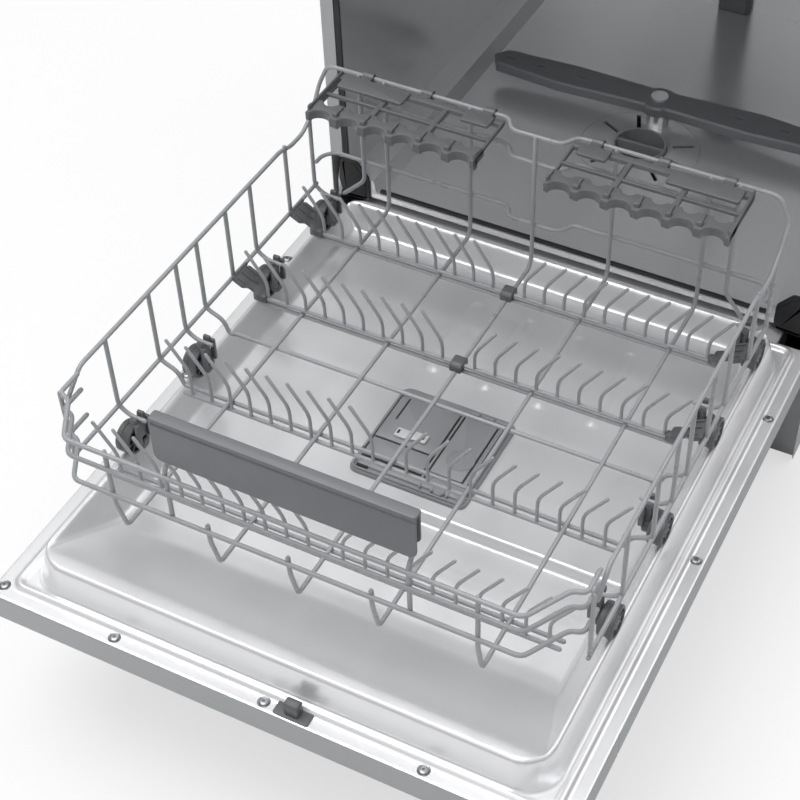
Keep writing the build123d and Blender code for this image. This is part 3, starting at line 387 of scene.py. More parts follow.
def noise(tree, vector, scale, detail=3.0, roughness=0.55):
    """A noise texture read on a vector."""
    node = tree.nodes.new("ShaderNodeTexNoise")
    node.inputs["Detail"].default_value = detail
    node.inputs["Roughness"].default_value = roughness
    if isinstance(scale, (int, float)):
        node.inputs["Scale"].default_value = scale
    else:
        tree.links.new(scale, node.inputs["Scale"])
    tree.links.new(vector, node.inputs["Vector"])
    return node.outputs["Fac"]


def grain_group():
    """Brush lines: noise read on a place squeezed across X, so that it runs long along X."""
    group, entry, leave = new_group("brushed_grain", {"Fineness": 900.0, "Stretch": 0.02},
                                    {"Line": "NodeSocketFloat", "Cloud": "NodeSocketFloat"})
    place = group.nodes.new("ShaderNodeTexCoord")
    stretch = group.nodes.new("ShaderNodeCombineXYZ")
    group.links.new(entry.outputs["Stretch"], stretch.inputs["X"])
    stretch.inputs["Y"].default_value = 1.0
    stretch.inputs["Z"].default_value = 1.0
    scaled = group.nodes.new("ShaderNodeVectorMath")
    scaled.operation = "MULTIPLY"
    group.links.new(place.outputs["Object"], scaled.inputs[0])
    group.links.new(stretch.outputs[0], scaled.inputs[1])
    group.links.new(noise(group, scaled.outputs[0], entry.outputs["Fineness"], 2.0), leave.inputs["Line"])
    group.links.new(noise(group, place.outputs["Object"], 9.0, 4.0), leave.inputs["Cloud"])
    return group


def speckle_group():
    """Moulded or coated grain: a fine noise for height and a broad one for slow changes."""
    group, entry, leave = new_group("fine_speckle", {"Fineness": 1400.0, "Breadth": 40.0},
                                    {"Grain": "NodeSocketFloat", "Drift": "NodeSocketFloat"})
    place = group.nodes.new("ShaderNodeTexCoord")
    group.links.new(noise(group, place.outputs["Object"], entry.outputs["Fineness"], 2.0),
                    leave.inputs["Grain"])
    group.links.new(noise(group, place.outputs["Object"], entry.outputs["Breadth"], 4.0),
                    leave.inputs["Drift"])
    return group


def spread(tree, value, low, high):
    """A value from 0.3 to 0.7 spread to run from low to high, and held at those outside it."""
    node = tree.nodes.new("ShaderNodeMapRange")
    node.inputs["From Min"].default_value = 0.3
    node.inputs["From Max"].default_value = 0.7
    node.inputs["To Min"].default_value = low
    node.inputs["To Max"].default_value = high
    tree.links.new(value, node.inputs["Value"])
    return node.outputs[0]


def tinted(tree, colour, factor, change):
    """A colour made darker and lighter by a share of itself as a factor goes from 0 to 1."""
    mix = tree.nodes.new("ShaderNodeMix")
    mix.data_type = "RGBA"
    tree.links.new(factor, mix.inputs["Factor"])
    dark = [c * (1 - change) for c in colour]
    light = [min(1.0, c * (1 + change)) for c in colour]
    mix.inputs["A"].default_value = (*dark, 1)
    mix.inputs["B"].default_value = (*light, 1)
    return mix.outputs["Result"]


def group_in(tree, name, **values):
    """Place a shared group in a material with its own values."""
    node = tree.nodes.new("ShaderNodeGroup")
    node.node_tree = bpy.data.node_groups[name]
    for label, value in values.items():
        node.inputs[label].default_value = value
    return node


def bumped(tree, shader, height, strength, distance):
    """Feed a height to the shader's normal through a bump."""
    bump = tree.nodes.new("ShaderNodeBump")
    bump.inputs["Strength"].default_value = strength
    bump.inputs["Distance"].default_value = distance * MM
    tree.links.new(height, bump.inputs["Height"])
    tree.links.new(bump.outputs["Normal"], shader.inputs["Normal"])


def new_material(name):
    material = bpy.data.materials.new(name)
    material.use_nodes = True
    tree = material.node_tree
    return material, tree, tree.nodes["Principled BSDF"]


def brushed_metal(name, colour, rough, fineness=900.0, stretch=0.02, bump=0.05, vary=0.03, metal=1.0):
    """Brushed or satin metal: brush lines in its roughness and normal, and slow clouds of tone. A
    metal share below 1 leaves the rest of the shader plain, so that dark surroundings mirror less."""
    material, tree, shader = new_material(name)
    shader.inputs["Metallic"].default_value = metal
    grain = group_in(tree, "brushed_grain", Fineness=fineness, Stretch=stretch)
    tree.links.new(tinted(tree, colour, grain.outputs["Cloud"], vary), shader.inputs["Base Color"])
    mixed = math_node(tree, "ADD", math_node(tree, "MULTIPLY", grain.outputs["Line"], 0.6),
                      math_node(tree, "MULTIPLY", grain.outputs["Cloud"], 0.4))
    tree.links.new(spread(tree, mixed, rough * 0.985, rough * 1.015), shader.inputs["Roughness"])
    bumped(tree, shader, grain.outputs["Line"], bump, 0.2)
    return material


def moulding(name, colour, rough, bump=0.15, fineness=1400.0, vary=0.05, specular=0.5):
    """Moulded plastic or a coat: fine grain in its normal and a slow drift of tone and gloss."""
    material, tree, shader = new_material(name)
    shader.inputs["Specular IOR Level"].default_value = specular
    speckle = group_in(tree, "fine_speckle", Fineness=fineness)
    tree.links.new(tinted(tree, colour, speckle.outputs["Drift"], vary), shader.inputs["Base Color"])
    tree.links.new(spread(tree, speckle.outputs["Drift"], rough * 0.85, rough * 1.15),
                   shader.inputs["Roughness"])
    bumped(tree, shader, speckle.outputs["Grain"], bump, 0.12)
    return material


def finish(name):
    """The finished material of a name, made at its first use."""
    if name in bpy.data.materials:
        return bpy.data.materials[name]
    for label, maker in (("brushed_grain", grain_group), ("fine_speckle", speckle_group)):
        if label not in bpy.data.node_groups:
            maker()
    tone = colours()
    makers = {
        "door_steel": lambda: brushed_metal(name, tone.steel, 0.26, 1400.0, 0.03, 0.001, 0.012, 0.47),
        "tub_steel": lambda: brushed_metal(name, [c * 0.97 for c in tone.steel], 0.22, 1400.0, 0.03,
                                           0.001, 0.015, 0.66),
        "edge_steel": lambda: brushed_metal(name, tone.edge_steel, 0.42, 900.0, 0.03, 0.02),
        "painted_steel": lambda: moulding(name, (0.42, 0.43, 0.44), 0.45, 0.05, vary=0.02),
        "zinc_steel": lambda: brushed_metal(name, (0.55, 0.56, 0.57), 0.42, 260.0, 1.0, 0.05, 0.10),
        "screw_steel": lambda: brushed_metal(name, (0.34, 0.35, 0.36), 0.35, 1200.0, 1.0, 0.03),
        "wire_coat": lambda: moulding(name, tone.wire, 0.30, 0.06, 2200.0, 0.05),
        "wheel_plastic": lambda: moulding(name, tone.wheel, 0.42, 0.10),
        "handle_grey": lambda: moulding(name, tone.handle, 0.46, 0.12, 2600.0, 0.03),
        "dispenser_plastic": lambda: moulding(name, tone.dispenser, 0.40, 0.10, vary=0.04),
        "button_grey": lambda: moulding(name, (0.14, 0.145, 0.15), 0.25, 0.04),
        "shelf_plastic": lambda: moulding(name, tone.shelf, 0.38, 0.10, vary=0.06),
        "pale_plastic": lambda: moulding(name, (0.52, 0.53, 0.53), 0.42, 0.08),
        # Black rubber of seals and covers; the same black is painted shade in the dispenser's gaps and
        # grooves.
        "black_rubber_and_gap_shade": lambda: moulding(name, tone.rubber_and_gap_shade, 0.55, 0.20, 900.0),
    }
    return makers[name]()


# The door

def smooth_step(distance, width):
    """0 below no distance, 1 past a width, and 3t2 - 2t3 between them."""
    t = np.clip(distance / width, 0, 1)
    return t * t * (3 - 2 * t)


def box_depth(x, y, half, front, rear, radius):
    """How far a place lies inside a rectangle with rounded corners; it is below 0 outside it."""
    middle, reach = (front + rear) / 2, (rear - front) / 2
    dx, dy = np.abs(x) - (half - radius), np.abs(y - middle) - (reach - radius)
    outside = np.hypot(np.maximum(dx, 0), np.maximum(dy, 0))
    return radius - outside - np.minimum(np.maximum(dx, dy), 0)


def graded(stops):
    """Grid lines through stretches of from, to and spacing, with no line given twice."""
    lines = [np.linspace(low, high, max(2, int(round((high - low) / step)) + 1))
             for low, high, step in stops]
    return np.unique(np.round(np.concatenate(lines), 4))


BEAD_INSET = 19.0
BEAD_HALF = 5.5
BEAD_HEIGHT = 5.0
RIM_END = 646.0
NOTCH_X = DOOR_HALF - 37.0
NOTCH_Y = DOOR_END_Y - 46.0
EMBOSS_HALF = 7.0
EMBOSS_X = (-52.0, 9.0, 70.0, 130.0)
EMBOSS_MIDDLE = 499.0
EMBOSS_REACH = 53.0
EMBOSS_HEIGHT = 1.7
RIM_RUN = 12.5
SIDE_FALL = 24.0
NEAR_RAMP = 86.0
FAR_FALL = 22.0
PANEL_START = 255.0
RIM_INSET = 25.0
RIM_START = 21.0
RIM_CORNER = 42.0
POCKET_INSET = 39.8
POCKET_START = 44.0
POCKET_END = 627.0


def soft_min(first, second, width):
    """The lower of two heights, with the corner between them rounded over a width."""
    near = np.maximum(width - np.abs(first - second), 0) / width
    return np.minimum(first, second) - near ** 2 * width / 4


def door_height(x, y):
    """The inner sheet's height above its flange. A rounded bead runs round it, then a rim rises
    over 12.5 mm and falls into the pocket: 24 mm down its sides, 86 mm down the near ramp and 22 mm
    at its far end. A step from 255 mm raises the panel behind it. Four long ovals are pressed up."""
    s = y - FREE_Y
    line = np.abs(box_depth(x, s, DOOR_HALF - BEAD_INSET, BEAD_INSET, RIM_END, 10.0))
    bead = BEAD_HEIGHT * 0.5 * (1 + np.cos(np.pi * np.clip(line / BEAD_HALF, 0, 1)))
    foot = box_depth(x, s, DOOR_HALF - RIM_INSET, RIM_START, RIM_END, RIM_CORNER)
    rim = RIM_HEIGHT * smooth_step(foot, RIM_RUN)
    side = (DOOR_HALF - POCKET_INSET - np.abs(x)) / SIDE_FALL
    near = (s - POCKET_START) / NEAR_RAMP
    far = (POCKET_END - s) / FAR_FALL
    down = soft_min(soft_min(side, near, 0.12), far, 0.10)
    down = -soft_min(-soft_min(down, 1.0, 0.12), 0.0, 0.08)
    step = smooth_step(s - PANEL_START, 8.0)
    inside = -soft_min(-RIM_HEIGHT * (1 - down), -PANEL_RISE * step, 3.0)
    inside = np.where(down >= 1.0, PANEL_RISE * step, inside)
    straight = np.maximum(np.abs(s - EMBOSS_MIDDLE) - EMBOSS_REACH, 0)
    across = [np.hypot(x - centre, straight) for centre in EMBOSS_X]
    oval = smooth_step(EMBOSS_HALF - np.min(across, axis=0), 4.0)
    height = np.where(foot > 0, soft_min(rim, inside + EMBOSS_HEIGHT * oval, 1.6), 0)
    edge = np.minimum(DOOR_HALF - np.abs(x), s)
    edge = np.minimum(edge, DOOR_END_Y - FREE_Y - s)
    edge = np.minimum(edge, np.maximum(NOTCH_X - np.abs(x), NOTCH_Y - y))
    return np.maximum(height, bead) - 0.6 * (1 - smooth_step(edge, 1.0))


def door_sheet():
    """The pressed inner sheet as a grid over its plan, left open at the dispenser and the hinges."""
    fine = sizes().door_step / MM
    half = graded([(0, 22, 3.2), (22, DOOR_HALF - 72.0, 3.7), (DOOR_HALF - 72.0, NOTCH_X, fine),
                   (NOTCH_X, DOOR_HALF - 1.0, fine), (DOOR_HALF - 1.0, DOOR_HALF - 0.2, 0.4)])
    xs = np.unique(np.concatenate([-half, half]))
    length = DOOR_END_Y - FREE_Y
    ys = FREE_Y + graded([(0, 1, 0.4), (1, 52, fine), (52, 132, 3.6), (132, 252, 6.0), (252, 266, 1.4),
                          (266, 600, 3.9), (600, NOTCH_Y - FREE_Y, fine), (NOTCH_Y - FREE_Y, length, 4.0)])
    y, x = np.meshgrid(ys, xs, indexing="ij")
    verts = np.stack([x, y, FLANGE_Z + door_height(x, y)], -1).reshape(-1, 3)
    faces = grid_faces(len(ys), len(xs))
    centre = verts[faces].mean(1)
    cut = 7.0
    inside = ((centre[:, 0] > DISPENSER_LOW[0] + cut) & (centre[:, 0] < DISPENSER_HIGH[0] - cut)
              & (centre[:, 1] > DISPENSER_LOW[1] + cut) & (centre[:, 1] < DISPENSER_HIGH[1] - cut))
    notched = (np.abs(centre[:, 0]) > NOTCH_X) & (centre[:, 1] > NOTCH_Y)
    faces = faces[~(inside | notched)]
    used = np.unique(faces)
    remap = np.zeros(len(verts), int)
    remap[used] = np.arange(len(used))
    sheet = build("door_sheet", [(verts[used], remap[faces].tolist())], "door",
                  finish("door_steel"), ["inner_door"], smooth=0)
    thicken(sheet, 1.2)
    return sheet


class DISHWASHER_OT_door_sheet(bpy.types.Operator):
    """Press the door's inner sheet: flange, bead, rim, pocket, ramp, panel and ovals"""

    bl_idname = "dishwasher.door_sheet"
    bl_label = "Door sheet"

    def execute(self, context):
        door_sheet()
        return {"FINISHED"}


class DISHWASHER_OT_door_front(bpy.types.Operator):
    """Finish the door's outer skin, its control panel, buttons, latch and screws"""

    bl_idname = "dishwasher.door_front"
    bl_label = "Door front"

    def execute(self, context):
        dress("outer_door", "edge_steel", 0.7)
        dress("control_panel", "edge_steel", 0.7)
        for name in ("power_button", "program_button", "start_button"):
            dress(name, "button_grey", 0.4)
        low, high = corners("door_latch")
        middle = (low[1] + high[1]) / 2
        hook = rounded_path([(middle - 5.5, low[2]), (middle + 4.5, low[2]), (middle + 4.5, low[2] + 11),
                             (high[1], high[2] - 4), (middle + 2, high[2]), (middle - 5.5, high[2] - 2)],
                            2.0, 3, closed=True)
        plate = rounded_rectangle((low[0] - 10, low[1] - 3), (high[0] + 10, high[1] + 3), 3)
        build("latch_hook", [prism(hook, low[0] + 1, high[0] - 1, 1.0, "x"),
                             prism(plate, low[2] - 0.4, low[2] + 1.6, 0.6)], "door",
              finish("wheel_plastic"), ["door_latch"])
        screws = []
        for x, y in screw_places():
            screws += torx_screw(x, y)
        build("torx_screws", screws, "door", finish("screw_steel"), ["door_screws"])
        return {"FINISHED"}


def screw_places():
    """Centres of the flange's screws: the near row and three down each side."""
    near = [(x, FREE_Y + 9.0) for x in (-160.0, 0.0, 160.0)]
    return near + [(side * (DOOR_HALF - 9.0), FREE_Y + s) for side in (-1, 1) for s in (14.0, 330.0, 540.0)]


def torx_screw(x, y):
    """A low domed head with a six-lobed socket, in a shallow ring: the socket's radius is 1.35
    plus 0.3 times the cosine of six turns."""
    turn = np.arange(36) * 2 * np.pi / 36
    circle = np.stack([np.cos(turn), np.sin(turn)], 1)
    lobes = circle * (1.35 + 0.3 * np.cos(6 * turn))[:, None]
    radii = [(circle * 6.2, 0.02), (circle * 5.4, 0.7), (circle * 4.6, 0.35), (circle * 4.2, 0.2),
             (circle * 4.1, 1.0), (circle * 3.2, 1.45), (circle * 2.1, 1.62), (lobes, 1.6), (lobes, 0.4)]
    rings = [np.column_stack([flat + (x, y), np.full(36, FLANGE_Z + z)]) for flat, z in radii]
    return [loft(rings)]


# The dispenser

def spun(profile, centre, axis="z", sides=32):
    """A solid of revolution: circles of each radius at each distance along the axis, from the
    middle of its low end, out and up, to the middle of its high end."""
    angle = np.arange(sides) * 2 * np.pi / sides
    profile = np.asarray(profile, float)
    radius, along = profile[:, :1], np.broadcast_to(profile[:, 1:], (len(profile), sides))
    across, upward = radius * np.cos(angle), radius * np.sin(angle)
    order = {"z": (across, upward, along), "x": (along, across, upward), "y": (upward, along, across)}[axis]
    return loft(np.stack(order, -1) + np.asarray(centre, float))


def stacked(levels, radius):
    """A skin over rounded rectangles, each given by its corners, its height and its inset."""
    rings = []
    for low, high, z, inset in levels:
        flat = rounded_rectangle(np.add(low, inset), np.subtract(high, inset), max(radius - inset, 1.0))
        rings.append(np.column_stack([flat, np.full(len(flat), z)]))
    return loft(rings)


class DISHWASHER_OT_dispenser(bpy.types.Operator):
    """Mould the detergent dispenser: its body with the cup, the sliding lid, its tab and the rinse cap"""

    bl_idname = "dishwasher.dispenser"
    bl_label = "Dispenser"

    def execute(self, context):
        low, high = DISPENSER_LOW[:2], DISPENSER_HIGH[:2]
        middle_y = (low[1] + high[1]) / 2
        top = PANEL_Z + 7.0
        inner = (4.4, 4.4)
        cup_low, cup_high = (-47.0, low[1] + 16.0), (3.0, low[1] + 52.0)
        levels = [(low + inner, high - inner, DISPENSER_LOW[2], 1.0),
                  (low + inner, high - inner, PANEL_Z, 0.0)]
        levels += [(low, high, z, inset) for z, inset in (
            (PANEL_Z, 0.0), (PANEL_Z + 2.2, 0.0), (PANEL_Z + 3.4, 0.6), (top - 3.2, 1.2), (top - 2.2, 5.0),
            (top - 2.2, 7.0), (top - 0.5, 8.0), (top, 9.0))]
        levels += [(cup_low, cup_high, z, inset) for z, inset in (
            (top, -1.0), (top - 1, 0.0), (PANEL_Z - 26.0, 1.0))]
        body = [stacked(levels, 11.0)]
        far = high[1] - 12.0
        bars = [((15.2, low[1] + 26.0, top - 0.5), (50.6, far - 6.0, top + 4.0), 1.5, 0.8),
                ((11.0, low[1] + 14.0, top - 0.5), (13.4, far - 6.0, top + 4.0), 0.8, 0.5),
                ((52.4, low[1] + 24.0, top - 1.5), (57.0, far - 6.0, top + 3.6), 1.0, 0.6),
                ((58.0, low[1] + 18.0, top - 3.0), (61.6, far, top + 3.0), 1.4, 1.0),
                ((-61.6, low[1] + 28.0, top - 3.0), (-58.6, far, top + 3.2), 1.2, 1.0),
                ((11.0, far - 4.6, top - 3.0), (61.0, far + 4.0, top + 2.2), 3.0, 1.6)]
        body += [brick(*bar) for bar in bars]
        body += [brick((x, far - 1.0, top - 1), (x + 13.0, far + 3.4, top + 4.2), 1.2, 0.8)
                 for x in (14.0, 30.0, 46.0)]
        body += [brick((52.8, y, top + 3.0), (56.6, y + 2.0, top + 4.1), 0.5, 0.4)
                 for y in np.arange(low[1] + 30.0, far - 12.0, 4.4)]
        rim = [(-61.0, low[1] + 17.0, top - 1.4), (-61.0, low[1] + 3.0, top - 1.4),
               (61.0, low[1] + 3.0, top - 1.4), (61.0, low[1] + 17.0, top - 1.4)]
        body.append(tube(rim, 2.6, 9.0, 6))
        body += [brick((x, low[1] + 4.5, top - 3), (x + 1.8, low[1] + 15.0, top + 0.6), 0.6, 0.5)
                 for x in (13.0, 26.0, 43.0, 55.0)]
        body.append(spun([(0.3, -4), (6.5, -4), (6.5, 0.3), (5.7, 1.1), (0.3, 1.4)],
                         (34.0, low[1] + 9.5, top)))
        build("dispenser_frame", body, "door", finish("dispenser_plastic"),
              ["dispenser_body"])

        # Painted shade: thin black strips are laid in the seams beside the lid's panels, in the gap before
        # the lid and in the slot at the near left, where those gaps lie in shade.
        grooves = ((-57.8, 0.6, low[1] + 28.0, top + 2.6), (9.9, 0.6, low[1] + 14.0, top + 3.0),
                   (14.3, 0.45, low[1] + 14.0, top + 3.2), (51.5, 0.5, low[1] + 24.0, top + 3.0))
        seam_shade_strips = [brick((x - half, near, z - 0.8), (x + half, far - 5.0, z), 0.3, 0.1)
                 for x, half, near, z in grooves]
        seam_shade_strips.append(brick((-58.0, low[1] + 17.5, top - 0.5), (10.0, low[1] + 21.0, top + 0.5), 1.0, 0.2))
        seam_shade_strips.append(brick((-57.0, low[1] + 5.5, top - 2.5), (-44.0, low[1] + 8.5, top - 0.4), 1.0, 0.2))
        build("dispenser_gap_shade", seam_shade_strips, "door", finish("black_rubber_and_gap_shade"))

        lid_low, lid_high = np.array((-57.0, low[1] + 22.0)), np.array((9.0, high[1] - 21.0))
        step_y = low[1] + 46.0
        lid_z = top + 0.3
        lid = [prism(rounded_rectangle((lid_low[0], step_y), lid_high, 1.5), lid_z, lid_z + 4.0, 0.7),
               prism(rounded_rectangle(lid_low, (lid_high[0], step_y + 1.0), 1.5), lid_z, lid_z + 2.6, 0.7)]
        build("dispenser_lid_plate", lid, "dispenser_lid", finish("dispenser_plastic"),
              ["dispenser_lid"])
        tab = rounded_path([(-39.0, middle_y - 12.5), (-22.0, middle_y - 12.5), (-18.0, middle_y - 10.0),
                            (-4.5, middle_y - 10.0), (-4.5, middle_y + 1.5), (-20.0, middle_y + 1.5),
                            (-24.0, middle_y - 0.5), (-39.0, middle_y - 0.5)], 2.0, 3, True)
        build("lid_tab", [prism(tab, lid_z + 3.6, lid_z + 7.0, 0.8)], "dispenser_lid",
              finish("pale_plastic"))
        # Painted shade: black marks in the lid's long groove, along its step and in the two holes of its tab,
        # where those hollows lie in shade.
        lid_shade_marks = [((-48.6, middle_y + 10.0, lid_z + 3.6), (-46.6, lid_high[1] - 1.0, lid_z + 4.15), 0.9),
                 ((lid_low[0] + 1, step_y - 1.6, lid_z + 2),
                  (lid_high[0] - 1, step_y - 0.2, lid_z + 2.9), 0.4),
                 ((-11.0, middle_y - 6.4, lid_z + 6.4), (-7.6, middle_y - 3.0, lid_z + 7.1), 0.5),
                 ((-37.0, middle_y - 9.0, lid_z + 6.4), (-34.6, middle_y - 3.6, lid_z + 7.1), 0.5)]
        build("lid_groove_shade", [brick(start, end, radius, 0.1) for start, end, radius in lid_shade_marks],
              "dispenser_lid", finish("black_rubber_and_gap_shade"))
        cap_low, cap_high = corners("rinse_cap")
        x, y = (cap_low[:2] + cap_high[:2]) / 2
        base, face = cap_low[2], cap_high[2]
        profile = [(0.3, base), (14.6, base), (14.6, face - 0.7), (14.0, face - 0.2), (12.8, face - 0.2),
                   (12.4, face - 0.5), (0.3, face - 0.5)]
        cap = [spun(profile, (x, y, 0), sides=40),
               brick((x - 9, y - 1.8, face - 1.6), (x + 9, y + 1.8, face), 1.6, 0.6)]
        build("rinse_cap_disc", cap, "rinse_cap", finish("dispenser_plastic"),
              ["rinse_cap"])
        return {"FINISHED"}


# The lower rack

def sides_of(path):
    """A path and its mirror image on the machine's other side."""
    path = np.asarray(path, float)
    return path, path * (-1, 1, 1)


def across(path):
    """A path from one side to its mirror image on the other, as one line."""
    path = np.asarray(path, float)
    return np.concatenate([path * (-1, 1, 1), path[::-1]])


def wires(paths, size=None):
    """Round wires along several paths."""
    size = size or sizes().wire / MM
    return [tube(path, size) for path in paths]


def rack_front():
    """Three rails across the front, the uprights bent into the floor and the handle's two posts."""
    paths = []
    for rise in (108.0, 88.0, 55.0):
        z = FLOOR_Z + rise
        paths.append(across([(WRAP_X, FRONT_Y + 72, z), (WRAP_X, FRONT_Y + 45, z),
                             (WRAP_X - 12, FRONT_Y + 42, z), (222, FRONT_Y, z)]))
    for x in LONG_WIRES:
        head = TOP_Z if abs(x) > 150 else FLOOR_Z + 60
        paths.append([(x, FRONT_Y + WELD, head), (x, FRONT_Y + WELD, FLOOR_Z + 40),
                      (x, FRONT_Y + 12, FLOOR_Z), (x, FRONT_Y + 26, FLOOR_Z)])
    post = [(118, FRONT_Y + WELD, FLOOR_Z + 52), (118, FRONT_Y + WELD, TOP_Z + 4),
            (118, FRONT_Y + 8.5, TOP_Z + 10), (118, FRONT_Y + 8.5, FLOOR_Z + 166)]
    paths += sides_of(post)
    return paths


def rack_side(side):
    """A side's stepped top rail, its lower rail and its uprights."""
    x, top, rear = side * SIDE_X, TOP_Z, REAR_Y
    paths = [[(x, FRONT_Y + 58, top - 21), (x, FRONT_Y + 82, top), (x, rear - 85.5, top),
              (x, rear - 65.5, top - 7), (x, rear - 39.5, top - 7), (x, rear - 16.5, top + 6),
              (x, rear + 1, top + 31), (side * (SIDE_X - 11), rear, SHELF_Z - 4),
              (side * (SIDE_X - 19), rear, SHELF_Z), (side * (SIDE_X - 30.7), rear, SHELF_Z)],
             [(x, FRONT_Y + 47, SIDE_RAIL_Z), (x, rear - 20, SIDE_RAIL_Z)],
             [(x, FRONT_Y + 49.5, SIDE_RAIL_Z), (x, FRONT_Y + 49.5, top - 6)]]
    for y in (ROWS[1] + TWIN_GAP, CROSS_WIRE_Y):
        paths.append([(x, y, top), (x, y, SIDE_RAIL_Z), (side * (SIDE_X - 20), y, SIDE_RAIL_Z - 9),
                      (side * (SIDE_X - 26), y, CROSS_Z), (side * WIRE_END_X, y, CROSS_Z)])
    for y in ROWS[2:]:
        paths.append([(x, y, top), (x, y, SIDE_RAIL_Z - 2)])
    for y in STATIONS:
        paths.append([(x, y, top), (x, y, SIDE_RAIL_Z), (side * (SIDE_X - 13), y, SADDLE_Z),
                      (side * (SIDE_X - 29), y, SADDLE_Z)])
    return paths


def rack_rear():
    """Three rails across the rear, each with its jog in the middle, the uprights and two posts."""
    jog = [(38.0, REAR_Y), (28.0, REAR_Y - 17)]
    tails = {167.0: [(232.0, REAR_Y)], 134.0: [(214.0, REAR_Y)],
             54.0: [(WRAP_X, REAR_Y - 24), (WRAP_X, REAR_Y - 12), (WRAP_X - 11, REAR_Y)]}
    paths = [across([(x, y, FLOOR_Z + rise) for x, y in tail + jog]) for rise, tail in tails.items()]
    for x in LONG_WIRES:
        back = REAR_Y - WELD - (0 if x else 17)
        paths.append([(x, REAR_Y - 34, FLOOR_Z), (x, back - 6, FLOOR_Z), (x, back, FLOOR_Z + 10),
                      (x, back, SHELF_Z)])
    post = SIDE_X - 52.0
    paths += sides_of([(post, REAR_Y - WELD, SHELF_Z), (post, REAR_Y - WELD, FLOOR_Z + 29),
                       (SIDE_X - 29, REAR_Y - 10, FLOOR_Z + 9)])
    return paths


def tine_row(y, base_z, half):
    """A wire across the rack with twenty tines on it: each stands to 28 mm above the floor wires,
    then leans 22 mm outward on its way to 61 mm."""
    parts = wires([[(-half, y, base_z), (half, y, base_z)]])
    for x in TINE_PLACES:
        lean = math.copysign(TINE_LEAN, x)
        parts.append(tube([(x, y, base_z), (x, y, FLOOR_Z + TINE_BEND_RISE),
                           (x + lean, y, FLOOR_Z + TINE_TIP_RISE)], sizes().tine / MM, 9.0, sides=8))
    return parts


class DISHWASHER_OT_lower_rack(bpy.types.Operator):
    """Bend the lower rack's wires: floor, front, both sides and rear"""

    bl_idname = "dishwasher.lower_rack"
    bl_label = "Lower rack"

    def execute(self, context):
        floor = [[(x, FRONT_Y + 26, FLOOR_Z), (x, REAR_Y - 34, FLOOR_Z)] for x in LONG_WIRES]
        floor += [[(-WIRE_END_X, y, FLOOR_Z - WELD), (WIRE_END_X, y, FLOOR_Z - WELD)]
                  for y in (CROSS_WIRE_Y, ROWS[2], ROWS[3])]
        groups = {"floor": floor, "front": rack_front(), "left": rack_side(-1), "right": rack_side(1),
                  "rear": rack_rear()}
        for name, paths in groups.items():
            build(f"rack_{name}_wires", wires(paths), "lower_rack", finish("wire_coat"),
                  [f"lower_rack_{name}"], smooth=50)
        return {"FINISHED"}


class DISHWASHER_OT_tine_rows(bpy.types.Operator):
    """Bend the tine rows: two fixed with their twin wires, and two that fold"""

    bl_idname = "dishwasher.tine_rows"
    bl_label = "Tine rows"

    def execute(self, context):
        coat = finish("wire_coat")
        fixed = tine_row(ROWS[0], CROSS_Z, WIRE_END_X) + tine_row(ROWS[1], CROSS_Z, WIRE_END_X)
        fixed += wires([[(-WIRE_END_X, y + TWIN_GAP, CROSS_Z), (WIRE_END_X, y + TWIN_GAP, CROSS_Z)]
                        for y in ROWS[:2]])
        build("fixed_tines", fixed, "lower_rack", coat, ["fixed_tine_rows"], smooth=50)
        for name, y in (("third_tine_row", ROWS[2]), ("rear_tine_row", ROWS[3])):
            build(f"{name}_wires", tine_row(y, PIVOT_Z, WIRE_END_X + 1), name, coat, [name],
                  smooth=50)
        return {"FINISHED"}


def wheel(y):
    """A right-hand wheel: a rim with a grooved tread, a web, eight ribs on each face and a hub."""
    centre = (0, y, AXLE_Z)
    inner, outer, r = WHEEL_INNER, WHEEL_OUTER, WHEEL_RADIUS
    rim = [(r - 3.4, inner + 1), (r - 2.8, inner + 0.2), (r - 0.8, inner + 0.2), (r, inner + 1.2),
           (r, inner + 5.4), (r - 0.7, inner + 6), (r - 0.7, inner + 9.4), (r, inner + 10), (r, outer - 1.4),
           (r - 1, outer - 0.2), (r - 2.6, outer - 0.2), (r - 3.4, outer - 1)]
    web = [(7, inner + 6), (r - 3, inner + 6), (r - 3, inner + 9), (7, inner + 9)]
    hub = [(4.5, inner), (6.6, inner), (7.4, inner + 1), (7.4, outer - 1.8), (6.6, outer - 1),
           (4.5, outer - 1)]
    parts = [turned(shape, centre, "x", 36) for shape in (rim, web, hub)]
    for near, far in ((outer - 1.2, inner + 8.5), (inner + 6.5, inner + 1.0)):
        verts, faces = brick((far, -0.9, 6.9), (near, 0.9, r - 2.9), 0.3, 0.4)
        for turn in np.arange(WHEEL_RIBS) * 2 * np.pi / WHEEL_RIBS:
            spin = np.array([[1, 0, 0], [0, math.cos(turn), -math.sin(turn)],
                             [0, math.sin(turn), math.cos(turn)]])
            parts.append((verts @ spin.T + centre, faces))
    return parts


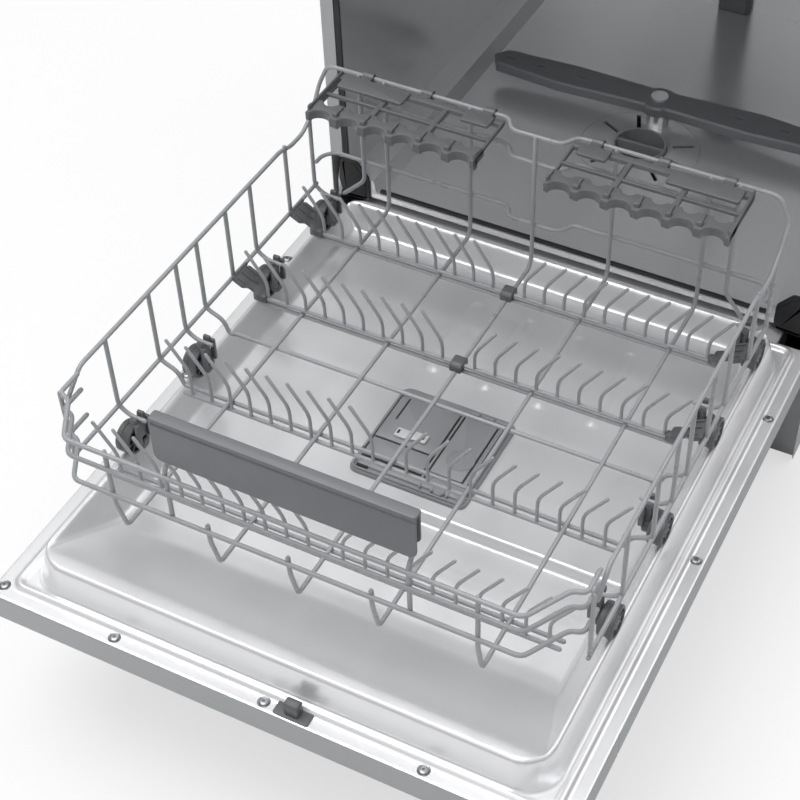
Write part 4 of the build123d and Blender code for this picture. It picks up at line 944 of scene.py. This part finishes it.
def carrier(y):
    """A right-hand wheel carrier: a boss with the wheel's pin, a narrow neck and a clip over the wire."""
    inner, outer = WHEEL_INNER - 8.0, WHEEL_INNER - 0.6
    saddle = SADDLE_Z - WIRE / 2
    neck = rounded_path([(y - 5, AXLE_Z - 3), (y + 5, AXLE_Z - 3), (y + 4, saddle - 1), (y + 8, saddle),
                         (y + 8, saddle + 7), (y + 4.2, saddle + 7), (y + 3, saddle + 0.6),
                         (y - 3, saddle + 0.6), (y - 4.2, saddle + 7), (y - 8, saddle + 7),
                         (y - 8, saddle), (y - 4, saddle - 1)], 1.6, 3, True)
    boss = [(0.3, inner - 2.4), (4.2, inner - 2.4), (5.0, inner - 1.6), (5.0, inner), (8.0, inner),
            (8.6, inner + 0.8), (8.6, outer - 0.8), (8.0, outer), (0.3, outer)]
    pin = [(0.3, outer - 1), (4, outer - 1), (4, WHEEL_OUTER - 1.6), (3.2, WHEEL_OUTER - 1),
           (0.3, WHEEL_OUTER - 1)]
    parts = [prism(neck, inner, outer, 0.8, "x"), spun(boss, (0, y, AXLE_Z), "x", 28)]
    parts += [brick((inner - 3.5, y + low, AXLE_Z + 4), (inner + 2, y + high, saddle + 2), 0.9, 0.6)
              for low, high in ((-10, -6.5), (6.5, 10))]
    parts.append(spun(pin, (0, y, AXLE_Z), "x", 20))
    return parts


class DISHWASHER_OT_rack_wheels(bpy.types.Operator):
    """Mould the eight ribbed wheels and the carriers that hold their pins"""

    bl_idname = "dishwasher.rack_wheels"
    bl_label = "Wheels"

    def execute(self, context):
        plastic = finish("wheel_plastic")
        for count, y in enumerate(STATIONS, start=1):
            parts = wheel(y)
            for side, halves in (("right", parts), ("left", [mirrored(part) for part in parts])):
                name = f"{side}_wheel_{count}"
                build(f"{name}_moulding", halves, name, plastic, [name])
        carriers = [part for y in STATIONS for part in carrier(y)]
        build("carriers", carriers + [mirrored(part) for part in carriers], "lower_rack", plastic,
              ["wheel_carriers"])
        return {"FINISHED"}


def slanted(part, upward, outward, origin):
    """A part laid on a slope: its X runs along the machine's Y, its Y up the slope, its Z off it."""
    flat, faces = part
    place = flat[:, :1] * (0, 1, 0) + flat[:, 1:2] * upward + flat[:, 2:3] * outward
    return place + origin, [face[::-1] for face in faces]


class DISHWASHER_OT_tine_locks(bpy.types.Operator):
    """Mould the plates that hold the folding tine rows at the rack's sides, and the clips at its middle"""

    bl_idname = "dishwasher.tine_locks"
    bl_label = "Tine locks and clips"

    def execute(self, context):
        plastic = finish("wheel_plastic")
        locks, clips = [], []
        start, end = np.array([WIRE_END_X - 4, PIVOT_Z]), np.array([SIDE_X - 3.5, SIDE_RAIL_Z + 3.0])
        run, rise = end - start
        length = math.hypot(run, rise)
        upward = np.array((run, 0, rise)) / length
        outward = np.array((-rise, 0, run)) / length
        outline = [(-5, 0.5), (11, 0.5), (11, 9), (8, 13), (8, 19), (20, 23), (20, length - 4),
                   (15, length - 0.5), (-7, length - 0.5), (-7, 24), (-2, 19), (-2, 12), (-6, 8)]
        plate = rounded_path(outline, 1.6, 3, True)
        for y in ROWS[2:]:
            locks.append(slanted(prism(plate, -2.8, 2.8, 0.9), upward, outward, (start[0], y, start[1])))
            rib = brick((-1.0, 16.0, 1.0), (1.2, length - 3.0, 4.6), 0.6, 0.5)
            for offset in (-3.5, 6.0, 15.5):
                moved = (rib[0] + (offset, 0, 0), rib[1])
                locks.append(slanted(moved, upward, outward, (start[0], y, start[1])))
            bar_z = SIDE_RAIL_Z + 4
            locks += [tube([(SIDE_X - 4, y - 6, bar_z), (SIDE_X - 4, y + 19, bar_z)], 4.2),
                      brick((WIRE_END_X - 8, y - 4.2, PIVOT_Z - 4.2),
                            (WIRE_END_X + 7, y + 4.2, PIVOT_Z + 4.2), 1.4, 1.0),
                      brick((WIRE_END_X - 3, y + 5, PIVOT_Z - 6),
                            (WIRE_END_X + 5, y + 13, PIVOT_Z + 3), 1.4, 1.0)]
            outline = rounded_path([(y - 9, FLOOR_Z + 0.2), (y - 3.4, FLOOR_Z + 2.6),
                                    (y + 3.4, FLOOR_Z + 2.6), (y + 9, FLOOR_Z + 0.2),
                                    (y + 9, PIVOT_Z + 3), (y + 5, PIVOT_Z + 6), (y - 5, PIVOT_Z + 6),
                                    (y - 9, PIVOT_Z + 3)], 1.6, 3, True)
            clips.append(prism(outline, -6.5, 6.5, 1.0, "x"))
        build("tine_lock_plates", locks + [mirrored(part) for part in locks], "lower_rack", plastic,
              ["tine_locks"])
        build("tine_clip_blocks", clips, "lower_rack", plastic, ["tine_clips"])
        return {"FINISHED"}


class DISHWASHER_OT_rack_handle(bpy.types.Operator):
    """Mould the rack's handle: a front plate with a stepped head, a top and a rear plate"""

    bl_idname = "dishwasher.rack_handle"
    bl_label = "Rack handle"

    def execute(self, context):
        low, high = HANDLE_LOW, HANDLE_HIGH
        front = rounded_path([(low[0], high[2] - 6.5), (low[0], low[2]), (high[0], low[2]),
                              (high[0], high[2] - 6.5)], [1, 10, 10, 1], 6, True)
        head = rounded_rectangle((low[0], high[2] - 9), (high[0], high[2] - 1.2), 2)
        rear = rounded_path([(low[0] + 1, high[2] - 3), (low[0] + 1, low[2] + 9), (high[0] - 1, low[2] + 9),
                             (high[0] - 1, high[2] - 3)], [1, 8, 8, 1], 6, True)
        parts = [prism(front, low[1], low[1] + 2.6, 1.1, "y", 3),
                 prism(head, low[1] + 1.0, low[1] + 3.2, 0.8, "y"),
                 prism(rounded_rectangle(low[:2], high[:2], 3), high[2] - 4.6, high[2], 1.6),
                 prism(rear, high[1] - 2.6, high[1], 1.0, "y")]
        build("handle_shell", parts, "lower_rack", finish("handle_grey"), ["rack_handle"])
        return {"FINISHED"}


def cup_shelf(low, high):
    """A right-hand cup shelf. Its front strip has six round notches of 12 mm radius, centred 3 mm
    before it, and six of 8 mm radius in its rear edge. Thin arms join it to the plate at the rail."""
    pitch = (high[0] - low[0]) / SHELF_NOTCHES
    front, back = low[1], REAR_Y - 9
    x = np.linspace(low[0], high[0], 151)
    near = np.abs((x - low[0]) % pitch - pitch / 2)
    scallop = front - 3 + np.sqrt(np.maximum(FRONT_NOTCH_RADIUS ** 2 - near ** 2, 9.0))
    rear = front + 27 - np.sqrt(np.maximum(REAR_NOTCH_RADIUS ** 2 - near ** 2, 4.0))
    base, top = SHELF_Z - 3, SHELF_Z + 3
    bar = np.concatenate([np.column_stack([x, scallop]), np.column_stack([x, rear])[::-1]])
    parts = [prism(bar, base - 5, top, 1.4, "z", 3),
             brick((low[0], back - 9, base), (high[0], back, top), 2, 1.4),
             brick((low[0], front + 38, base + 1), (high[0], front + 42, top - 1), 1.2, 1.0)]
    edges = low[0] + pitch * np.arange(SHELF_NOTCHES + 1)
    for count, edge in enumerate(edges):
        left, right = max(edge - 3, low[0]), min(edge + 3, high[0])
        if count % 2 == 0:
            parts.append(brick((left, front + 10, base), (right, back - 4, top - 0.6), 1.5, 1.2))
        parts.append(brick((left, front + 4, base - 9), (right, front + 11, top + 4.5), 1.6, 1.2))
        parts.append(brick((left + 1.4, front + 13, top - 1), (right - 1.4, front + 22, top + 2.0), 0.8, 0.7))
    parts += [brick((high[0] - 84, back - 26, top - 1), (high[0] - 8, back - 3, top + 3), 3.0, 1.6),
              brick((low[0] + 10, back - 22, top - 1), (low[0] + 42, back - 3, top + 3), 3.0, 1.6),
              brick((high[0] - 2.5, front + 10, base - 4), (high[0], back, top + 3), 0.8, 0.8)]
    for x_lug in (low[0] + 22, (low[0] + high[0]) / 2 - 2, high[0] - 28):
        ring = [(WIRE / 2 + 0.7, x_lug - 6), (5.2, x_lug - 6), (5.2, x_lug + 6), (WIRE / 2 + 0.7, x_lug + 6)]
        parts.append(turned(ring, (0, REAR_Y, SHELF_Z), "x", 20))
        parts.append(brick((x_lug - 6, back - 2, base), (x_lug + 6, REAR_Y - 3.2, top), 0.8, 0.8))
    return parts


class DISHWASHER_OT_cup_shelves(bpy.types.Operator):
    """Mould the two fold-down cup shelves on the rear rail"""

    bl_idname = "dishwasher.cup_shelves"
    bl_label = "Cup shelves"

    def execute(self, context):
        low, high = corners("cup_shelf_right")
        parts = cup_shelf(low, high)
        look = finish("shelf_plastic")
        build("right_shelf", parts, "cup_shelf_right", look, ["cup_shelf_right"])
        build("left_shelf", [mirrored(part) for part in parts], "cup_shelf_left", look,
              ["cup_shelf_left"])
        return {"FINISHED"}


class DISHWASHER_OT_upper_rack(bpy.types.Operator):
    """Bend the upper rack's wires and finish its slides, rails and brackets"""

    bl_idname = "dishwasher.upper_rack"
    bl_label = "Upper rack"

    def execute(self, context):
        reach = WIRE / 2
        x_side = UPPER_HIGH[0] - reach
        front, rear = UPPER_LOW[1] + reach, UPPER_HIGH[1] - reach
        top = UPPER_HIGH[2] - reach
        floor = top - 112.0
        under, bend = floor - WELD, 8.0
        long_x = [x_side * i / 3 for i in range(-2, 3)]
        cross_y = [front + (rear - front) * (i + 0.5) / 6 for i in range(6)]
        bottom = [[(x, front + 2 * bend, floor), (x, rear - 2 * bend, floor)] for x in long_x]
        bottom += [[(2 * bend - x_side, y, under), (x_side - 2 * bend, y, under)] for y in cross_y]
        walls = []
        for z in (floor + 40, top):
            walls += sides_of([(x_side, front + bend, z), (x_side, rear - bend, z)])
            for y, inward in ((front, bend), (rear, -bend)):
                walls.append(across([(x_side, y + 1.5 * inward, z), (x_side, y + inward, z),
                                     (x_side - bend, y, z)]))
        for y in cross_y[::2] + cross_y[-1:]:
            walls += sides_of([(x_side, y, top), (x_side, y, floor + bend), (x_side - bend, y, under),
                               (x_side - 2 * bend, y, under)])
        for y, inward in ((front, bend), (rear, -bend)):
            walls += [[(x, y, top), (x, y, floor + bend), (x, y + inward, floor), (x, y + 2 * inward, floor)]
                      for x in long_x]
        coat = finish("wire_coat")
        build("upper_floor_wires", wires(bottom), "upper_rack", coat, ["upper_rack_floor"],
              smooth=50)
        build("upper_wall_wires", wires(walls), "upper_rack", coat, ["upper_rack_walls"],
              smooth=50)
        dress("upper_rack_brackets", "wheel_plastic", 0.8)
        dress("upper_slides", "zinc_steel", 1.0)
        dress("rack_rails", "zinc_steel", 1.0)
        return {"FINISHED"}


# The cabinet

FRAME_LOOKS = {
    "tub": ("tub_steel", 0), "tub_seal": ("black_rubber_and_gap_shade", 0.8), "lip_seal": ("black_rubber_and_gap_shade", 1.2),
    "side_panel_left": ("painted_steel", 0.4), "side_panel_right": ("painted_steel", 0.4),
    "top_cover": ("painted_steel", 0.4), "back_panel": ("painted_steel", 0.3),
    "kick_plate": ("edge_steel", 0.5), "base_pan": ("wheel_plastic", 1.0),
    "levelling_feet": ("wheel_plastic", 1.0), "hinge_brackets": ("zinc_steel", 0.5),
    "hinge_arms": ("zinc_steel", 0.5), "sump": ("wheel_plastic", 1.2), "wash_pump": ("wheel_plastic", 1.2),
    "drain_pump": ("wheel_plastic", 1.2), "inlet_valve": ("pale_plastic", 0.8),
    "feed_pipe": ("handle_grey", 1.5), "lower_spray_arm": ("handle_grey", 1.2),
    "upper_spray_arm": ("handle_grey", 1.2),
    "filter_plate": ("tub_steel", 0.5), "filter_cup": ("dispenser_plastic", 0.8),
}


class DISHWASHER_OT_cabinet(bpy.types.Operator):
    """Finish the tub, seals, panels, hinges, feet and the washing parts of the frame"""

    bl_idname = "dishwasher.cabinet"
    bl_label = "Cabinet and tub"

    def execute(self, context):
        for name, (look, bevel) in FRAME_LOOKS.items():
            dress(name, look, bevel)
        low, high = corners("hinge_covers")
        leaf = rounded_path([(249.0, low[2] + 2), (284.0, low[2]), (289.5, 214.0), (286.0, 244.0),
                             (266.0, 246.0), (249.0, 226.0)], 4.0, 4, True)
        cover = [prism(leaf, low[1], high[1], 1.0, "y"),
                 prism(inset_outline(leaf, 5.0), low[1] - 1.2, low[1] + 1, 0.8, "y")]
        build("hinge_leaves", cover + [mirrored(part) for part in cover], "cabinet", finish("black_rubber_and_gap_shade"),
              ["hinge_covers"])
        return {"FINISHED"}


# The studio

CAMERA_PLACE = (0.53984, -1.30305, 1.43516)
CAMERA_AZIMUTH = 26.105
CAMERA_ELEVATION = 45.458
LENS = 75.25
SHIFT_X = -0.0867
SHIFT_Y = 0.0004
FLOOR_HALF = 8.0
SKY_STRENGTH = 0.76
HORIZON = (0.14, (0.06, 0.06, 0.065, 1))
ZENITH = (0.55, (0.80, 0.80, 0.81, 1))
FLOOR_WHITE_SHARE = 0.6
LAMP_TARGET = (0.0, -0.2, 0.3)
LAMPS = (("overhead", (-0.7, -0.5, 2.9), 2.2, 56), ("rear_fill", (1.5, 1.2, 2.6), 1.6, 14),
         ("front_fill", (0.4, -2.6, 2.4), 1.8, 9))


def soft_lamp(name, place, target, size, power):
    """A square lamp that looks at a target."""
    light = bpy.data.lights.new(name, "AREA")
    light.size = size
    light.energy = power
    lamp = bpy.data.objects.new(name, light)
    lamp.location = place
    lamp.rotation_mode = "QUATERNION"
    lamp.rotation_quaternion = (Vector(target) - Vector(place)).to_track_quat("-Z", "Y")
    bpy.context.scene.collection.objects.link(lamp)


def studio_world():
    """A pale sky that darkens towards the horizon, and plain white where the camera looks past the floor."""
    world = bpy.data.worlds.new("studio_sky")
    world.use_nodes = True
    tree = world.node_tree
    tree.nodes.clear()
    place = tree.nodes.new("ShaderNodeTexCoord")
    split = tree.nodes.new("ShaderNodeSeparateXYZ")
    tree.links.new(place.outputs["Generated"], split.inputs[0])
    ramp = tree.nodes.new("ShaderNodeValToRGB")
    for stop, (position, colour) in zip(ramp.color_ramp.elements, (HORIZON, ZENITH)):
        stop.position = position
        stop.color = colour
    tree.links.new(split.outputs["Z"], ramp.inputs[0])
    sky = tree.nodes.new("ShaderNodeBackground")
    sky.inputs["Strength"].default_value = SKY_STRENGTH
    tree.links.new(ramp.outputs[0], sky.inputs["Color"])
    white = tree.nodes.new("ShaderNodeBackground")
    white.inputs["Color"].default_value = (1, 1, 1, 1)
    rays = tree.nodes.new("ShaderNodeLightPath")
    mix = tree.nodes.new("ShaderNodeMixShader")
    out = tree.nodes.new("ShaderNodeOutputWorld")
    tree.links.new(rays.outputs["Is Camera Ray"], mix.inputs[0])
    tree.links.new(sky.outputs[0], mix.inputs[1])
    tree.links.new(white.outputs[0], mix.inputs[2])
    tree.links.new(mix.outputs[0], out.inputs["Surface"])
    bpy.context.scene.world = world


def studio_floor():
    """A pale floor. The camera sees it as six parts plain white to four parts lit, so its shadow is soft."""
    material, tree, shader = new_material("floor_white")
    shader.inputs["Base Color"].default_value = (*colours().floor, 1)
    shader.inputs["Roughness"].default_value = 0.9
    shader.inputs["Specular IOR Level"].default_value = 0.1
    glow = tree.nodes.new("ShaderNodeEmission")
    glow.inputs["Color"].default_value = (1, 1, 1, 1)
    rays = tree.nodes.new("ShaderNodeLightPath")
    mix = tree.nodes.new("ShaderNodeMixShader")
    tree.links.new(math_node(tree, "MULTIPLY", rays.outputs["Is Camera Ray"], FLOOR_WHITE_SHARE),
                   mix.inputs[0])
    tree.links.new(shader.outputs[0], mix.inputs[1])
    tree.links.new(glow.outputs[0], mix.inputs[2])
    tree.links.new(mix.outputs[0], tree.nodes["Material Output"].inputs["Surface"])
    mesh = bpy.data.meshes.new("floor")
    corner = FLOOR_HALF * np.array([(-1, -1, 0), (1, -1, 0), (1, 1, 0), (-1, 1, 0)])
    mesh.from_pydata(corner.tolist(), [], [(0, 1, 2, 3)])
    mesh.materials.append(material)
    plane = bpy.data.objects.new("floor", mesh)
    bpy.context.scene.collection.objects.link(plane)


class DISHWASHER_OT_studio(bpy.types.Operator):
    """Set the pale floor, the sky, the soft lamps and the camera"""

    bl_idname = "dishwasher.studio"
    bl_label = "Studio"

    def execute(self, context):
        studio_world()
        studio_floor()
        for name, place, size, power in LAMPS:
            soft_lamp(name, place, LAMP_TARGET, size, power)
        eye = bpy.data.cameras.new("camera")
        eye.sensor_width = 36.0
        eye.lens = LENS
        eye.shift_x, eye.shift_y = SHIFT_X, SHIFT_Y
        camera = bpy.data.objects.new("camera", eye)
        azimuth, elevation = math.radians(CAMERA_AZIMUTH), math.radians(CAMERA_ELEVATION)
        back = Vector((math.sin(azimuth) * math.cos(elevation), -math.cos(azimuth) * math.cos(elevation),
                       math.sin(elevation)))
        camera.location = CAMERA_PLACE
        camera.rotation_mode = "QUATERNION"
        camera.rotation_quaternion = (-back).to_track_quat("-Z", "Y")
        context.scene.collection.objects.link(camera)
        context.scene.camera = camera
        context.scene.view_settings.view_transform = "Standard"
        return {"FINISHED"}


STEPS = (DISHWASHER_OT_door_sheet, DISHWASHER_OT_door_front, DISHWASHER_OT_dispenser,
         DISHWASHER_OT_lower_rack, DISHWASHER_OT_tine_rows, DISHWASHER_OT_rack_wheels,
         DISHWASHER_OT_tine_locks, DISHWASHER_OT_rack_handle, DISHWASHER_OT_cup_shelves,
         DISHWASHER_OT_upper_rack, DISHWASHER_OT_cabinet, DISHWASHER_OT_studio)


class DISHWASHER_PT_steps(bpy.types.Panel):
    """The machine's pieces in the order in which they are made"""

    bl_idname = "DISHWASHER_PT_steps"
    bl_label = "Dishwasher"
    bl_space_type = "VIEW_3D"
    bl_region_type = "UI"
    bl_category = "Dishwasher"

    def draw(self, context):
        for group in (context.scene.dishwasher_sizes, context.scene.dishwasher_colours):
            for label in group.bl_rna.properties.keys():
                if label not in ("rna_type", "name"):
                    self.layout.prop(group, label)
        for step in STEPS:
            self.layout.operator(step.bl_idname)


CLASSES = (DishwasherSizes, DishwasherColours, *STEPS, DISHWASHER_PT_steps)


def register():
    for item in CLASSES:
        bpy.utils.register_class(item)
    bpy.types.Scene.dishwasher_sizes = PointerProperty(type=DishwasherSizes)
    bpy.types.Scene.dishwasher_colours = PointerProperty(type=DishwasherColours)


def unregister():
    del bpy.types.Scene.dishwasher_colours
    del bpy.types.Scene.dishwasher_sizes
    for item in reversed(CLASSES):
        bpy.utils.unregister_class(item)


def main():
    register()
    for step in STEPS:
        group, name = step.bl_idname.split(".")
        getattr(getattr(bpy.ops, group), name)()


if __name__ == "__main__":
    main()
